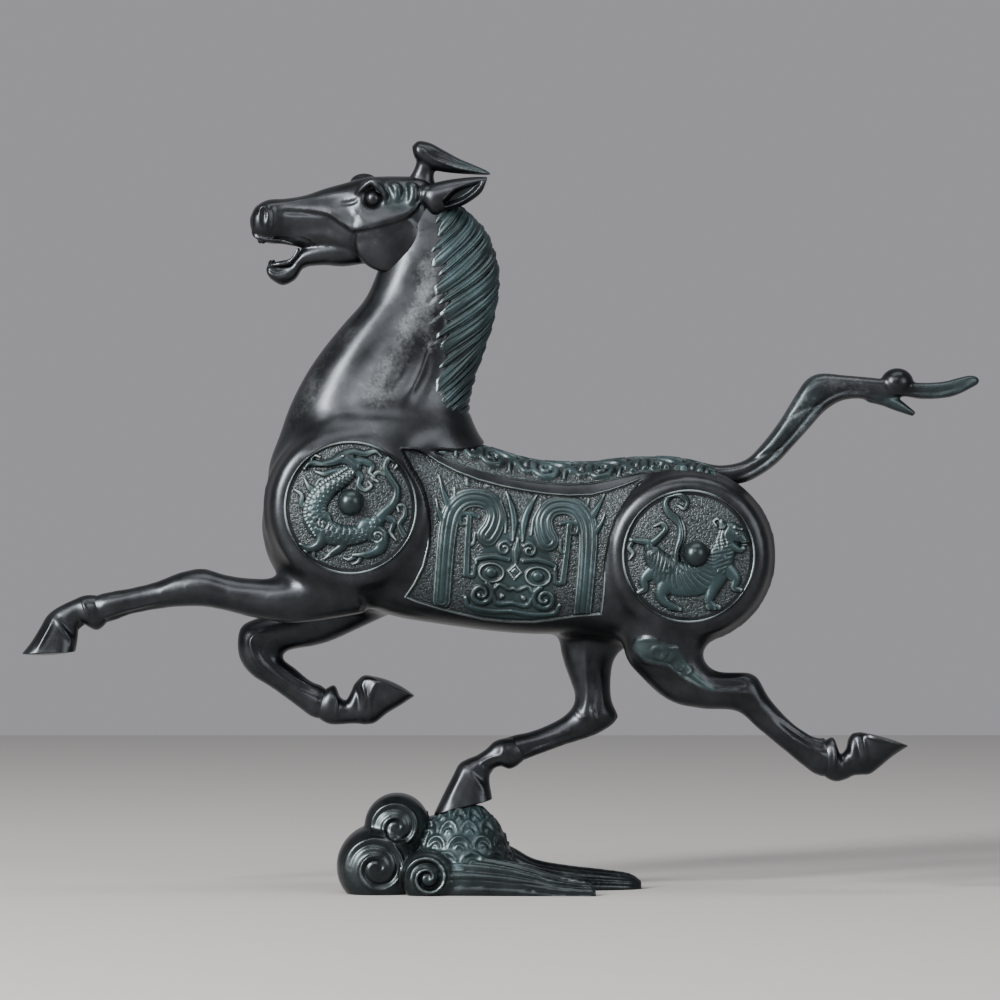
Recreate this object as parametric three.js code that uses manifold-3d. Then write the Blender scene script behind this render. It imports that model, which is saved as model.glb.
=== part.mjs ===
// A galloping horse ornament of cast brass with a dark patina, and the cloud-scroll base that it stands on.
// The horse is one casting: trunk, arched neck with a ridged mane, open-mouthed head, streaming tail and four legs,
// of which one hind leg is set down. Raised medallions with a dragon and a tiger sit on its shoulders and haunches,
// and its flanks carry a beast mask between two borders.
// Lengths are millimetres. +Z is up, the horse gallops towards -X and its near side faces -Y.
// The origin is on the underside of the base, where the object stands.
import * as THREE from "three";
import { mergeVertices } from "three/addons/utils/BufferGeometryUtils.js";
import Module from "manifold-3d";

const wasm = await Module();
wasm.setup();

// Driving dimensions.
const FACE_TO_FACE = 75; // over the two medallions of a pair, without their pearls
const MEDALLION_RADIUS = 29;
const DOME_RADIUS = 135; // a medallion's ground is this slightly domed
const PEARL_RADIUS = 6.2; // the ball in the middle of a medallion
const RIM_HEIGHT = 1; // a medallion's rim above its ground
const FIGURE_HEIGHT = 2.1; // a medallion's figure above its ground
const PANEL_HEIGHT = 1.2; // the flank's carving above its ground
const LOCKS = 14; // ridges of the mane
const LOCK_DEPTH = 1.5; // of the furrow between two locks
const CASTING_GAP = 0.3; // between the standing hoof and the base
const SLIVER = 0.25; // a union's thin leftover triangles are merged within this distance
const SECTION_POWER = 2.2; // the limbs' sections lie between a circle and a rounded box
const TRUNK_POWER = 2.7;

// Each form is a row of ribs. A rib is [x, z] of one edge of the outline, [x, z] of the opposite edge, and the half
// width across the horse.
const TRUNK = [
  [-108, 164.5, -107.5, 161, 4], // point of the breast
  [-106.5, 176.5, -105, 151, 15],
  [-103.5, 190, -98.5, 140.5, 24],
  [-95, 201, -86, 135, 30.5], // front of the shoulder
  [-77, 208, -68, 130.5, 34],
  [-54.5, 210, -48, 124, 33.5], // elbow
  [-32, 207, -27.5, 120.5, 33.5],
  [-9.5, 201, -5, 117.5, 33.5], // withers
  [13, 194.5, 15, 116, 33], // hollow of the back
  [35.5, 193, 35.5, 116, 32.5],
  [58, 195, 53.5, 113.5, 33.5], // flank
  [78, 195, 69, 108, 35], // top of the croup
  [96, 190, 87, 111, 34.5],
  [108.5, 177.5, 102, 120, 29], // dock
  [115, 163, 111, 130, 19],
  [117, 151, 117, 147.5, 4], // point of the buttock
];
const NECK = [
  [-90.5, 167.5, -14, 176.5, 27], // root, inside the trunk
  [-105, 185.5, -6, 196.5, 28],
  [-99.5, 207, -13.5, 212.5, 26], // collar
  [-94.5, 220.5, -15, 221.5, 24.5],
  [-87.5, 234, -12.5, 232, 22.5],
  [-79.5, 245.5, -8.5, 244, 21], // half way up
  [-70.5, 256.5, -5, 255, 19.5],
  [-62.5, 265.5, -2.5, 267.5, 18],
  [-58.5, 273, -2, 279, 16.5], // throat
  [-54.5, 283.5, -4.5, 290, 15],
  [-51, 293.5, -9, 299, 13.5],
  [-48, 304.5, -16, 306, 12],
  [-45.5, 313.5, -22.5, 311.5, 9], // poll
];
const SKULL = [
  [-27.5, 315, -30, 306, 6], // back of the skull
  [-34.5, 321.5, -34.5, 289, 11],
  [-43.5, 322, -43.5, 281.5, 13.5], // cheek
  [-52.5, 322, -54, 280, 14.5],
  [-61.5, 321.5, -63, 283.5, 14], // eyes
  [-70.5, 319, -70.5, 286.5, 11.5],
  [-79.5, 316.5, -79.5, 289, 9.5],
  [-88.5, 313.5, -89.5, 290, 8.5], // corner of the mouth
  [-97.5, 312, -98.5, 291.5, 8],
  [-105, 311.5, -105, 292, 9.5], // nostrils
  [-110.5, 308.5, -111, 294.5, 8],
  [-113, 304, -113, 299.5, 4], // upper lip
];
const JAW = [
  [-58, 297, -58, 283.5, 9], // hinge
  [-70.5, 294.5, -70.5, 281.5, 8.5],
  [-79.5, 293.5, -79.5, 282, 7.5],
  [-87, 291, -87, 281.5, 6.5],
  [-91.5, 288, -89.5, 280.5, 6],
  [-95, 283.5, -93, 275.5, 5.8],
  [-100.5, 282.5, -98.5, 273, 5.6], // chin
  [-105, 282, -103.5, 275.5, 5],
  [-106, 280.5, -105.5, 278, 3], // lower lip
];
const EAR = [
  [-37.5, 316, -34.5, 308, 4], // root
  [-32, 317.5, -30, 305, 6],
  [-25.5, 318.5, -23, 306, 5.5],
  [-18.5, 320, -16.5, 310, 4.5],
  [-12, 321, -10.5, 316, 3],
  [-6.5, 321.5, -6.5, 320.5, 1], // tip
];
const FORELOCK_STALK = [
  [-40.5, 318, -29, 315, 5],
  [-38.5, 326, -30.5, 324, 4],
  [-39.5, 333, -30.5, 331, 4.5],
];
const FORELOCK = [
  [-39.5, 337, -40.5, 332, 4], // knob
  [-36, 338, -36.5, 328, 6.5],
  [-30, 335, -31.5, 327.5, 6.5],
  [-23, 331, -24, 326, 5.5],
  [-14, 327, -15, 323.5, 4],
  [-5, 324.5, -5, 323, 1.5], // tip
];
const TAIL = [
  [89.5, 193.5, 97.5, 180, 7], // dock, inside the croup
  [99, 192, 104, 183, 7],
  [109.5, 195, 112.5, 185, 8],
  [117, 202, 124.5, 191, 9],
  [125.5, 212.5, 134.5, 201.5, 9],
  [132, 223, 141, 209.5, 8.5],
  [137, 230.5, 147, 217, 8],
  [143.5, 233.5, 154.5, 221, 7.5], // bend
  [154.5, 232.5, 162, 221.5, 6.5],
  [166, 231.5, 170.5, 220.5, 6],
  [174, 230.5, 175.5, 222.5, 5], // knot
  [181.5, 228, 181.5, 223, 4.5],
  [193, 229, 192, 222, 5],
  [204, 231, 204, 223.5, 4.5],
  [211, 232, 211.5, 227, 3.5],
  [215, 231, 214.5, 229.5, 1.5], // tip
];
const TAIL_PRONG = [
  [165, 226, 166.5, 220, 4.5],
  [172, 224.5, 173, 218.5, 4],
  [178, 222, 177, 217.5, 3],
  [183, 218, 181, 215.5, 2],
  [186, 215.5, 185.5, 214, 1], // tip
];
const TAIL_KNOT = { x: 178, z: 230.5, radius: 7 };

// A leg's side is where it joins the trunk and where its hoof is, across the horse. The near legs are at -Y.
// The hoof's last rib is its sole, from toe to heel.
const REACHING_FORELEG = {
  sideAtTrunk: -18,
  sideAtHoof: -14,
  ribs: [
    [-72.5, 149.5, -63.5, 120, 13], // shoulder
    [-95, 142, -90.5, 121.5, 11],
    [-111, 141.5, -109.5, 123.5, 9.5], // forearm
    [-123, 143, -122, 126.5, 8.8],
    [-133.5, 146, -132.5, 128.5, 8.6], // knee
    [-144.5, 144, -143.5, 128.5, 7.8],
    [-154.5, 140, -153, 127.5, 6.8],
    [-167, 137, -166, 125, 6.2], // cannon
    [-178.5, 134.5, -176, 122, 6.2],
    [-185, 133, -180.5, 118.5, 6.6], // fetlock
    [-191.5, 130, -187, 120, 5.6], // pastern
    [-200.5, 126.5, -189.5, 118.5, 6.5], // coronet
  ],
  hoof: [
    [-202.5, 126, -190, 119, 7.5],
    [-207, 117, -189.5, 113.5, 9],
    [-214.5, 107.5, -190, 108.5, 10],
  ],
};
const FOLDED_FORELEG = {
  sideAtTrunk: 18,
  sideAtHoof: 14,
  ribs: [
    [-77, 149.5, -45.5, 127, 13], // shoulder
    [-86, 136, -61.5, 119.5, 12],
    [-97.5, 129, -79.5, 111.5, 10.5], // forearm
    [-109.5, 123.5, -95, 108.5, 9.5],
    [-118.5, 119, -101.5, 107, 9], // knee
    [-119.5, 106.5, -101.5, 106, 8.6],
    [-114, 97.5, -99.5, 104.5, 7.6],
    [-104, 91, -94, 101, 6.8], // cannon
    [-93, 83, -85.5, 94, 6.4],
    [-82.5, 76.5, -78, 92, 6.8],
    [-76.5, 74, -74.5, 91, 7], // fetlock
    [-70, 74.5, -70.5, 85.5, 5.8], // pastern
    [-62, 74, -67, 90, 6.5], // coronet
  ],
  hoof: [
    [-58.5, 74, -66.5, 92, 7.5],
    [-47.5, 81.5, -65, 95, 9],
    [-39, 88, -62.5, 97, 10],
  ],
};
const STANDING_HIND_LEG = {
  sideAtTrunk: 16,
  sideAtHoof: 6,
  ribs: [
    [33, 149.5, 80.5, 131.5, 15], // stifle
    [26.5, 127, 67, 115.5, 14],
    [26, 114.5, 55, 109, 12], // thigh
    [27.5, 104.5, 50.5, 102.5, 10.5],
    [31.5, 93, 49.5, 93.5, 9], // gaskin
    [33.5, 86.5, 50, 85, 8.4],
    [29.5, 80, 53, 77.5, 8], // hock
    [22, 75.5, 43.5, 70.5, 7],
    [13, 72, 28.5, 65.5, 6.3], // cannon
    [3, 69.5, 16.5, 61, 6.2],
    [-4.5, 65.5, 5.5, 55, 7], // fetlock
    [-10.5, 62, -1.5, 56, 6], // pastern
    [-17, 59.5, -4.5, 49.5, 6.5], // coronet
  ],
  hoof: [
    [-18, 59, -5, 48, 7.5],
    [-23.5, 47.5, -4.5, 44.5, 9],
    [-30.5, 34.5, -4.5, 41.5, 10],
  ],
};
const TRAILING_HIND_LEG = {
  sideAtTrunk: -18,
  sideAtHoof: -15,
  ribs: [
    [55.5, 131.5, 100.5, 127, 16], // stifle
    [54.5, 109, 91, 110.5, 14],
    [62.5, 97, 90, 106, 12], // thigh
    [75, 86.5, 95.5, 100, 10.5],
    [89.5, 83, 104, 99.5, 9.2], // gaskin
    [105, 82, 113.5, 98.5, 8.8], // hock
    [114, 74.5, 119.5, 88.5, 7.5],
    [125.5, 65, 130, 77, 6.5], // cannon
    [136.5, 56, 141, 70, 6.5],
    [146, 50.5, 149, 69.5, 7.2], // fetlock
    [154.5, 52, 153, 64.5, 6], // pastern
    [162, 53, 156.5, 68.5, 6.5], // coronet
  ],
  hoof: [
    [165.5, 53.5, 156.5, 69.5, 7.5],
    [174, 60.5, 157.5, 71, 9],
    [182, 67, 160, 72.5, 10],
  ],
};

// A closed three.js geometry becomes a solid. One that comes out inside out is turned round.
function solidOf(geometry) {
  const bare = geometry.clone();
  bare.deleteAttribute("normal");
  bare.deleteAttribute("uv");
  const merged = mergeVertices(bare, 1e-4);
  const make = (triVerts) =>
    new wasm.Manifold(
      new wasm.Mesh({ numProp: 3, vertProperties: merged.attributes.position.array, triVerts }),
    );
  const faces = new Uint32Array(merged.index.array);
  const solid = make(faces);
  return solid.volume() > 0 ? solid : make(faces.reverse());
}

const union = (solids) => solids.reduce((whole, solid) => whole.add(solid));
const mirrored = (solid) => solid.mirror([0, 1, 0]);
const bothSides = (solid) => solid.add(mirrored(solid));

function meshOf(name, solid, material) {
  const { vertProperties, triVerts } = solid.asOriginal().simplify(SLIVER).getMesh();
  const geometry = new THREE.BufferGeometry();
  geometry.setAttribute("position", new THREE.BufferAttribute(new Float32Array(vertProperties), 3));
  geometry.setIndex(new THREE.BufferAttribute(new Uint32Array(triVerts), 1));
  geometry.computeVertexNormals();
  const mesh = new THREE.Mesh(geometry, material);
  mesh.name = name;
  return mesh;
}

// A skin over rings of points, each ring going once round, closed by a fan at either end.
function skin(rings) {
  const sides = rings[0].length;
  const middle = (ring) =>
    ring.reduce((sum, point) => sum.add(point), new THREE.Vector3()).divideScalar(sides);
  const points = [...rings.flat(), middle(rings[0]), middle(rings.at(-1))];
  const first = points.length - 2;
  const last = points.length - 1;
  const end = (rings.length - 1) * sides;
  const faces = [];
  for (let side = 0; side < sides; side++) {
    const next = (side + 1) % sides;
    for (let ring = 0; ring < end; ring += sides) {
      faces.push(ring + side, ring + next, ring + sides + side);
      faces.push(ring + next, ring + sides + next, ring + sides + side);
    }
    faces.push(first, next, side, last, end + side, end + next);
  }
  return new THREE.BufferGeometry().setFromPoints(points).setIndex(faces);
}

// A smooth surface through ribs. around is 0 at the rib's first edge, a quarter at the -Y side, a half at its second.
class RibbedForm {
  constructor(ribs, sideStart = 0, sideEnd = sideStart, power = SECTION_POWER) {
    this.span = ribs.length - 1;
    this.power = power;
    this.sideStart = sideStart;
    this.sideEnd = sideEnd;
    const through = (points) => new THREE.CatmullRomCurve3(points, false, "catmullrom", 0.5);
    this.firstEdge = through(ribs.map(([x, z, , , width]) => new THREE.Vector3(x, width, z)));
    this.secondEdge = through(ribs.map(([, , x, z]) => new THREE.Vector3(x, 0, z)));
  }

  point(station, around, lift = 0) {
    const share = station / this.span;
    const first = this.firstEdge.getPoint(share);
    const second = this.secondEdge.getPoint(share);
    const width = first.y + lift;
    first.y = 0;
    const centre = first.clone().add(second).divideScalar(2);
    const reach = first.clone().sub(second).divideScalar(2);
    reach.setLength(reach.length() + lift);
    const turn = around * 2 * Math.PI;
    const rounded = (value) => Math.sign(value) * Math.abs(value) ** (2 / this.power);
    const side = THREE.MathUtils.lerp(this.sideStart, this.sideEnd, THREE.MathUtils.clamp(share, 0, 1));
    return centre
      .addScaledVector(reach, rounded(Math.cos(turn)))
      .add(new THREE.Vector3(0, side - width * rounded(Math.sin(turn)), 0));
  }

  solid(sides, stepsPerRib, lift = 0) {
    const rings = [];
    for (let step = 0; step <= this.span * stepsPerRib; step++) {
      const station = step / stepsPerRib;
      rings.push(Array.from({ length: sides }, (_, side) => this.point(station, side / sides, lift)));
    }
    return solidOf(skin(rings));
  }
}

// A raised band through points, for carving in relief. Its half width runs evenly through the widths given, and it
// stands the height above the line of its points.
function stroke(points, widths, height, steps = points.length, sides = 5) {
  const path = new THREE.CatmullRomCurve3(points, false, "catmullrom", 0.5);
  const rings = [];
  for (let step = 0; step <= steps; step++) {
    const share = step / steps;
    const place = share * (widths.length - 1);
    const below = Math.min(Math.floor(place), widths.length - 2);
    const width = THREE.MathUtils.lerp(widths[below], widths[below + 1], place - below);
    const along = path.getTangent(share).normalize();
    const outward = new THREE.Vector3(0, -1, 0).addScaledVector(along, along.y).normalize();
    const across = outward.clone().cross(along);
    const centre = path.getPoint(share);
    rings.push(
      Array.from({ length: sides }, (_, side) => {
        const turn = (side / sides) * 2 * Math.PI;
        return centre
          .clone()
          .addScaledVector(outward, Math.min(height, width) * Math.cos(turn))
          .addScaledVector(across, width * Math.sin(turn));
      }),
    );
  }
  return solidOf(skin(rings));
}

function ball(x, y, z, radius, segments = 12) {
  return solidOf(new THREE.SphereGeometry(radius, segments, segments / 2)).translate([x, y, z]);
}

function ellipsoid({ x, y, z, rx, ry, rz }, segments = 20) {
  const round = new THREE.SphereGeometry(1, segments, segments / 2);
  return solidOf(round).scale([rx, ry, rz]).translate([x, y, z]);
}

// Points along an arc or a spiral in the plane of a relief, as [u, v] pairs. Angles are in turns.
function spiral(u, v, radiusStart, radiusEnd, turnStart, turnEnd, count = 6) {
  return Array.from({ length: count }, (_, step) => {
    const share = step / (count - 1);
    const radius = THREE.MathUtils.lerp(radiusStart, radiusEnd, share);
    const turn = 2 * Math.PI * THREE.MathUtils.lerp(turnStart, turnEnd, share);
    return [u + radius * Math.cos(turn), v + radius * Math.sin(turn)];
  });
}

// The figures of the medallions, in shares of the medallion's radius: u along +X, v up. Each band is its middle line
// and the half widths along it.
const DRAGON = [
  { line: [[-0.62, 0.68], [-0.3, 0.7], [-0.02, 0.68], [-0.02, 0.5], [-0.34, 0.3], [-0.6, 0.08], [-0.6, -0.24],
    [-0.34, -0.42], [0.06, -0.42], [0.38, -0.3], [0.48, -0.06], [0.68, 0.14], [0.68, 0.4], [0.54, 0.62],
    [0.68, 0.7]],
  widths: [0.03, 0.1, 0.09, 0.08, 0.11, 0.15, 0.17, 0.15, 0.13, 0.11, 0.07, 0.05, 0.05, 0.04, 0.03] }, // to the tail
  { line: [[-0.16, 0.76], [0.1, 0.74], [0.36, 0.62]], widths: [0.06, 0.05, 0.02] }, // horn
  { line: [[-0.08, 0.58], [-0.34, 0.54], [-0.5, 0.5]], widths: [0.06, 0.04, 0.02] }, // jaw and beard
  { line: [[-0.46, -0.36], [-0.38, -0.58], [-0.68, -0.64]], widths: [0.11, 0.08, 0.04] }, // foreleg
  { line: [[0.26, -0.36], [0.4, -0.62], [0.12, -0.74]], widths: [0.11, 0.08, 0.04] }, // hind leg
  { line: [[-0.66, 0.02], [-0.8, 0.16], [-0.82, 0.34]], widths: [0.05, 0.04, 0.02] }, // flame
];
const TIGER = [
  { line: [[0.84, 0.3], [0.64, 0.42], [0.5, 0.2], [0.52, -0.1], [0.36, -0.34], [0.04, -0.4], [-0.3, -0.32],
    [-0.46, -0.1]],
  widths: [0.07, 0.13, 0.14, 0.17, 0.19, 0.17, 0.18, 0.12] }, // muzzle to rump
  { line: [[-0.36, -0.12], [-0.14, 0.14], [-0.12, 0.46], [-0.32, 0.78], [-0.18, 0.92], [-0.04, 0.82]],
  widths: [0.09, 0.06, 0.06, 0.05, 0.05, 0.03] }, // tail
  { line: [[0.3, -0.4], [0.26, -0.64], [0.4, -0.76]], widths: [0.12, 0.08, 0.05] }, // foreleg
  { line: [[-0.3, -0.36], [-0.4, -0.6], [-0.18, -0.78]], widths: [0.13, 0.08, 0.05] }, // hind leg
  { line: [[-0.48, -0.1], [-0.62, 0.18], [-0.86, 0.22]], widths: [0.1, 0.06, 0.04] }, // raised hind leg
  { line: [[-0.6, 0.2], [-0.44, 0.36], [-0.46, 0.54]], widths: [0.05, 0.05, 0.03] }, // flame
];

// The beast mask of the flank, in millimetres from its middle: one half, drawn on both sides of the middle line.
const MASK = { x: 6.5, z: 155, tilt: -0.08 };
const MASK_HALF = [
  { line: [[28, -24], [30.5, -8], [31, 8], [28, 17], [20.5, 21.5], [12.5, 18.5], [10.5, 11], [14.5, 5.5]],
    widths: [2, 2.6, 2.8, 2.9, 2.9, 3] }, // horn, up the side and over
  { line: [[17.5, 13], [22, 12], [21.5, 0], [20.5, -9]], widths: [1.2, 1.5, 1.5] }, // fret within the horn
  { line: [[6.5, 27], [4.5, 17], [1.5, 8]], widths: [0.5, 1.9, 1.2] }, // crest leaf
  { line: spiral(5, 2.5, 3.2, 1.6, 0.3, -0.55), widths: [0.9, 0.7] }, // crest curl
  { line: [[6, -2.6], [11, -2], [17, -3.6]], widths: [1.2, 1.3, 1] }, // brow
  { line: spiral(14, -19.5, 5, 2, 0.35, 1.2), widths: [1.2, 1.1, 0.9] }, // nostril
  { line: [[9.5, -18.5], [6, -23.5], [1, -22.5]], widths: [1.1, 1.2, 1] }, // lip
];
const MASK_EYE = { u: 10.5, v: -9.8, radius: 2.8 };
const UPPER_BORDER = [[-36, 201], [-24, 191.5], [-2, 185.5], [20, 181.5], [37, 181], [52.5, 183], [61, 186]];
const LOWER_BORDER = [[-39, 134], [-24, 128.5], [-2, 124], [14, 123], [31, 124.5], [46, 128.5]];

const trunkForm = new RibbedForm(TRUNK, 0, 0, TRUNK_POWER);
const neckForm = new RibbedForm(NECK);

// The trunk's half width at a place seen from the side, found from the rib through that place.
function flankAt(x, z) {
  const edges = (station) => [trunkForm.firstEdge, trunkForm.secondEdge].map((edge) =>
    edge.getPoint(station / trunkForm.span));
  let low = 0;
  let high = trunkForm.span;
  for (let halving = 0; halving < 20; halving++) {
    const station = (low + high) / 2;
    const [top, bottom] = edges(station);
    if (THREE.MathUtils.lerp(bottom.x, top.x, (z - bottom.z) / (top.z - bottom.z)) < x) low = station;
    else high = station;
  }
  const [top, bottom] = edges(low);
  const offCentre = Math.abs(z - (top.z + bottom.z) / 2) / ((top.z - bottom.z) / 2);
  return top.y * Math.max(0, 1 - offCentre ** TRUNK_POWER) ** (1 / TRUNK_POWER);
}

// How far a medallion's domed ground lies from the middle plane, at a distance from the medallion's centre.
function domeAt(radius) {
  return FACE_TO_FACE / 2 - radius ** 2 / (2 * DOME_RADIUS);
}

// A boss that carries a medallion: a turned form about an axis across the horse, with a rim round the domed ground.
function boss({ x, z }) {
  const edge = domeAt(MEDALLION_RADIUS);
  const profile = [
    [0, 14],
    [38, 18],
    [36.5, edge - 6],
    [31.5, edge + RIM_HEIGHT - 0.6],
    [MEDALLION_RADIUS + 0.9, edge + RIM_HEIGHT],
    [MEDALLION_RADIUS, edge],
    [0, domeAt(0)],
  ].map(([radius, out]) => new THREE.Vector2(radius, out));
  return solidOf(new THREE.LatheGeometry(profile, 26).rotateX(Math.PI).translate(x, 0, z));
}

function medallion(centre, figure) {
  const place = ([u, v]) =>
    new THREE.Vector3(
      centre.x + u * MEDALLION_RADIUS,
      -THREE.MathUtils.lerp(domeAt(0), domeAt(MEDALLION_RADIUS), Math.hypot(u, v)),
      centre.z + v * MEDALLION_RADIUS,
    );
  const bands = figure.map(({ line, widths }) =>
    stroke(line.map(place), widths.map((width) => width * MEDALLION_RADIUS), FIGURE_HEIGHT),
  );
  return union([...bands, ball(centre.x, -domeAt(0), centre.z, PEARL_RADIUS, 10)]);
}

const SHOULDER = { x: -67, z: 173 };
const HAUNCH = { x: 83, z: 151.5 };

function medallions() {
  return bothSides(
    union([boss(SHOULDER), boss(HAUNCH), medallion(SHOULDER, DRAGON), medallion(HAUNCH, TIGER)]),
  );
}

// The mask and the two borders of the flank panel, raised on the trunk's side.
function flankRelief() {
  const onFlank = ([x, z]) => new THREE.Vector3(x, -flankAt(x, z), z);
  const turned = new THREE.Vector2();
  const place = (sign) => ([u, v]) => {
    turned.set(sign * u, v).rotateAround(new THREE.Vector2(), MASK.tilt);
    return onFlank([MASK.x + turned.x, MASK.z + turned.y]);
  };
  const bands = [-1, 1].flatMap((sign) => {
    const eye = place(sign)([MASK_EYE.u, MASK_EYE.v]);
    const half = MASK_HALF.map(({ line, widths }) => stroke(line.map(place(sign)), widths, PANEL_HEIGHT, line.length, 4));
    return [...half, ball(eye.x, eye.y, eye.z, MASK_EYE.radius, 6)];
  });
  const nose = place(1)([0, -9]);
  const diamond = solidOf(new THREE.OctahedronGeometry(1)).scale([4, 1.6, 4.5]).translate([nose.x, nose.y, nose.z]);
  const borders = [UPPER_BORDER, LOWER_BORDER].map((border) => stroke(border.map(onFlank), [1.3, 1.3], PANEL_HEIGHT, 8, 4));
  return bothSides(union([...bands, diamond, ...borders]));
}

// The mane wraps the back half of the neck in ridges, one to a lock, that fall forward and down from the crest. Its
// rings follow the ridges and the furrows between them, and close inside the neck.
function mane() {
  const lowest = 2.8;
  const highest = 12.4;
  const border = 0.27; // how far round the neck the mane reaches on each side of the crest
  const fall = 1.5; // stations that a lock falls from the crest to the border
  const acrossNeck = [-1, -0.7, -0.35, 0, 0.35, 0.7, 1];
  const rings = [];
  for (let ring = 0; ring <= 2 * LOCKS; ring++) {
    const crest = THREE.MathUtils.lerp(lowest, highest, ring / (2 * LOCKS));
    const reach = border * THREE.MathUtils.clamp((crest + 0.6) / 8.5, 0.4, 1);
    const ridge = ring % 2 ? LOCK_DEPTH : 0;
    const outside = acrossNeck.map((across) =>
      neckForm.point(crest - fall * Math.abs(across) ** 1.3, 0.5 + reach * across, ridge - 0.4),
    );
    const inside = [0.5, -0.5].map((across) => neckForm.point(crest - 0.7, 0.5 + reach * across, -9));
    rings.push([...outside, ...inside]);
  }
  return solidOf(skin(rings));
}

// A band round part of a circle on the side of the head. Angles are in turns, from the front and anticlockwise.
function headBand(x, y, z, radius, turnStart, turnEnd, widths) {
  const line = spiral(x, z, radius, radius, turnStart, turnEnd, 5);
  return stroke(line.map(([u, v]) => new THREE.Vector3(u, y, v)), widths, widths[1], 6);
}

function ear() {
  const shell = new RibbedForm(EAR, -8, -12).solid(8, 1);
  const hollow = new RibbedForm(EAR.slice(2), -14, -14.5).solid(8, 1, -1.4);
  return shell.subtract(hollow);
}

function head() {
  const skull = new RibbedForm(SKULL, 0, 0, 2.5).solid(14, 1);
  const socket = bothSides(ellipsoid({ x: -58, y: -16, z: 312.5, rx: 6.2, ry: 5, rz: 4.8 }, 8));
  const eyeball = ball(-58, -10.5, 312.5, 3.9, 8);
  const brow = headBand(-57.5, -12.5, 311.5, 7.2, 0.02, 0.46, [1, 2.2, 1.4]);
  const browBone = ellipsoid({ x: -61, y: -9.5, z: 318, rx: 8, ry: 4, rz: 4.8 }, 8);
  const lid = headBand(-57.5, -12.6, 313.5, 6.6, 0.56, 0.94, [0.6, 1.2, 0.8]);
  const temple = [0, 1, 2].map((lobe) => ball(-49 + 4.4 * lobe, -9.8 + 0.8 * lobe, 314 - lobe, 4.4 - 0.3 * lobe, 6));
  const nostril = headBand(-106, -8.4, 302, 5, -0.32, 0.32, [1, 1.9, 1.2]);
  const cheekEdge = [[-75, 305], [-66, 299], [-52.5, 301.5], [-38, 308]];
  const cheek = stroke(cheekEdge.map(([x, z]) => new THREE.Vector3(x, -12.7, z)), [0.8, 2, 2, 0.8], 1.6, 6);
  const details = bothSides(union([ear(), eyeball, brow, browBone, lid, nostril, cheek, ...temple]));
  const stalk = new RibbedForm(FORELOCK_STALK).solid(8, 1);
  const forelock = new RibbedForm(FORELOCK).solid(8, 1);
  return union([skull.subtract(socket), new RibbedForm(JAW).solid(8, 1), stalk, forelock, details]);
}

function tail() {
  const knot = ball(TAIL_KNOT.x, 0, TAIL_KNOT.z, TAIL_KNOT.radius, 10);
  return union([new RibbedForm(TAIL).solid(8, 1), new RibbedForm(TAIL_PRONG).solid(6, 1), knot]);
}

// The limb's last rib is a smaller one inside the hoof, so that the two overlap.
function leg({ sideAtTrunk, sideAtHoof, ribs, hoof }) {
  const [toeX, toeZ, heelX, heelZ, width] = hoof[1];
  const inward = (from, to) => THREE.MathUtils.lerp(from, to, 0.2);
  const core = [inward(toeX, heelX), inward(toeZ, heelZ), inward(heelX, toeX), inward(heelZ, toeZ), width * 0.6];
  const limb = new RibbedForm([...ribs, core], sideAtTrunk, sideAtHoof).solid(10, 1);
  const horn = new RibbedForm(hoof, sideAtHoof, sideAtHoof, 2.6).solid(12, 1);
  return limb.add(horn);
}

const LEGS = [REACHING_FORELEG, FOLDED_FORELEG, STANDING_HIND_LEG, TRAILING_HIND_LEG];

function horse() {
  const body = union([trunkForm.solid(20, 1), neckForm.solid(16, 1), head(), tail(), ...LEGS.map(leg)]);
  return union([body, medallions(), flankRelief(), mane()]);
}

// The base is a cloud: rolled heads in front, a hump of curls under the hoof, and two fluted wisps behind.
// A roll is a rounded drum across the horse, with a spiral carved on both faces.
const ROLLS = [
  { x: -47, y: 0, z: 30, radius: 14.5, depth: 15 },
  { x: -55.5, y: 0, z: 12, radius: 18.5, depth: 21 },
];
const SMALL_ROLLS = [
  { x: -33, y: -18, z: 8, radius: 12, depth: 8 },
  { x: -33, y: 18, z: 8, radius: 12, depth: 8 },
];
const HUMP = { x: -19, y: 2, z: 5, rx: 25, ry: 24, rz: 36 };
const NEAR_WISP = [
  [-40, 16, -40, -8, 9],
  [-18, 18, -18, -8, 10],
  [4, 15, 4, -7, 8.5],
  [26, 8.5, 26, -6, 6.5],
  [38, 6, 38, -4, 4.5],
  [42, 2, 42, -2, 2],
];
const FAR_WISP = [
  [-18, 30, -18, -8, 12],
  [4, 20, 4, -8, 11],
  [15, 14, 15, -8, 10],
  [30, 11, 30, -7, 9],
  [46, 9, 46, -6, 8],
  [58, 7, 58, -5, 6],
  [63.5, 3.5, 63.5, -2.5, 2.5],
];

function roll({ x, y, z, radius, depth }) {
  const quarter = [
    [0, 1],
    [0.5, 1.02],
    [0.78, 0.93],
    [0.95, 0.7],
    [1, 0.35],
  ].map(([share, out]) => [share * radius, out * depth]);
  const profile = [...quarter.map(([r, out]) => [r, -out]), ...quarter.reverse()];
  const drum = new THREE.LatheGeometry(profile.map(([r, out]) => new THREE.Vector2(r, out)), 18);
  return solidOf(drum.translate(x, y, z));
}

function rollSpiral({ x, y, z, radius, depth }, side) {
  const line = spiral(x, z, 0.8 * radius, 0.12 * radius, 0.55, -0.95, 11);
  const out = y + side * (0.97 * depth);
  return stroke(line.map(([u, v]) => new THREE.Vector3(u, out, v)), [1.1, 1.5, 1.2], 1.2, 12, 5);
}

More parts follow.
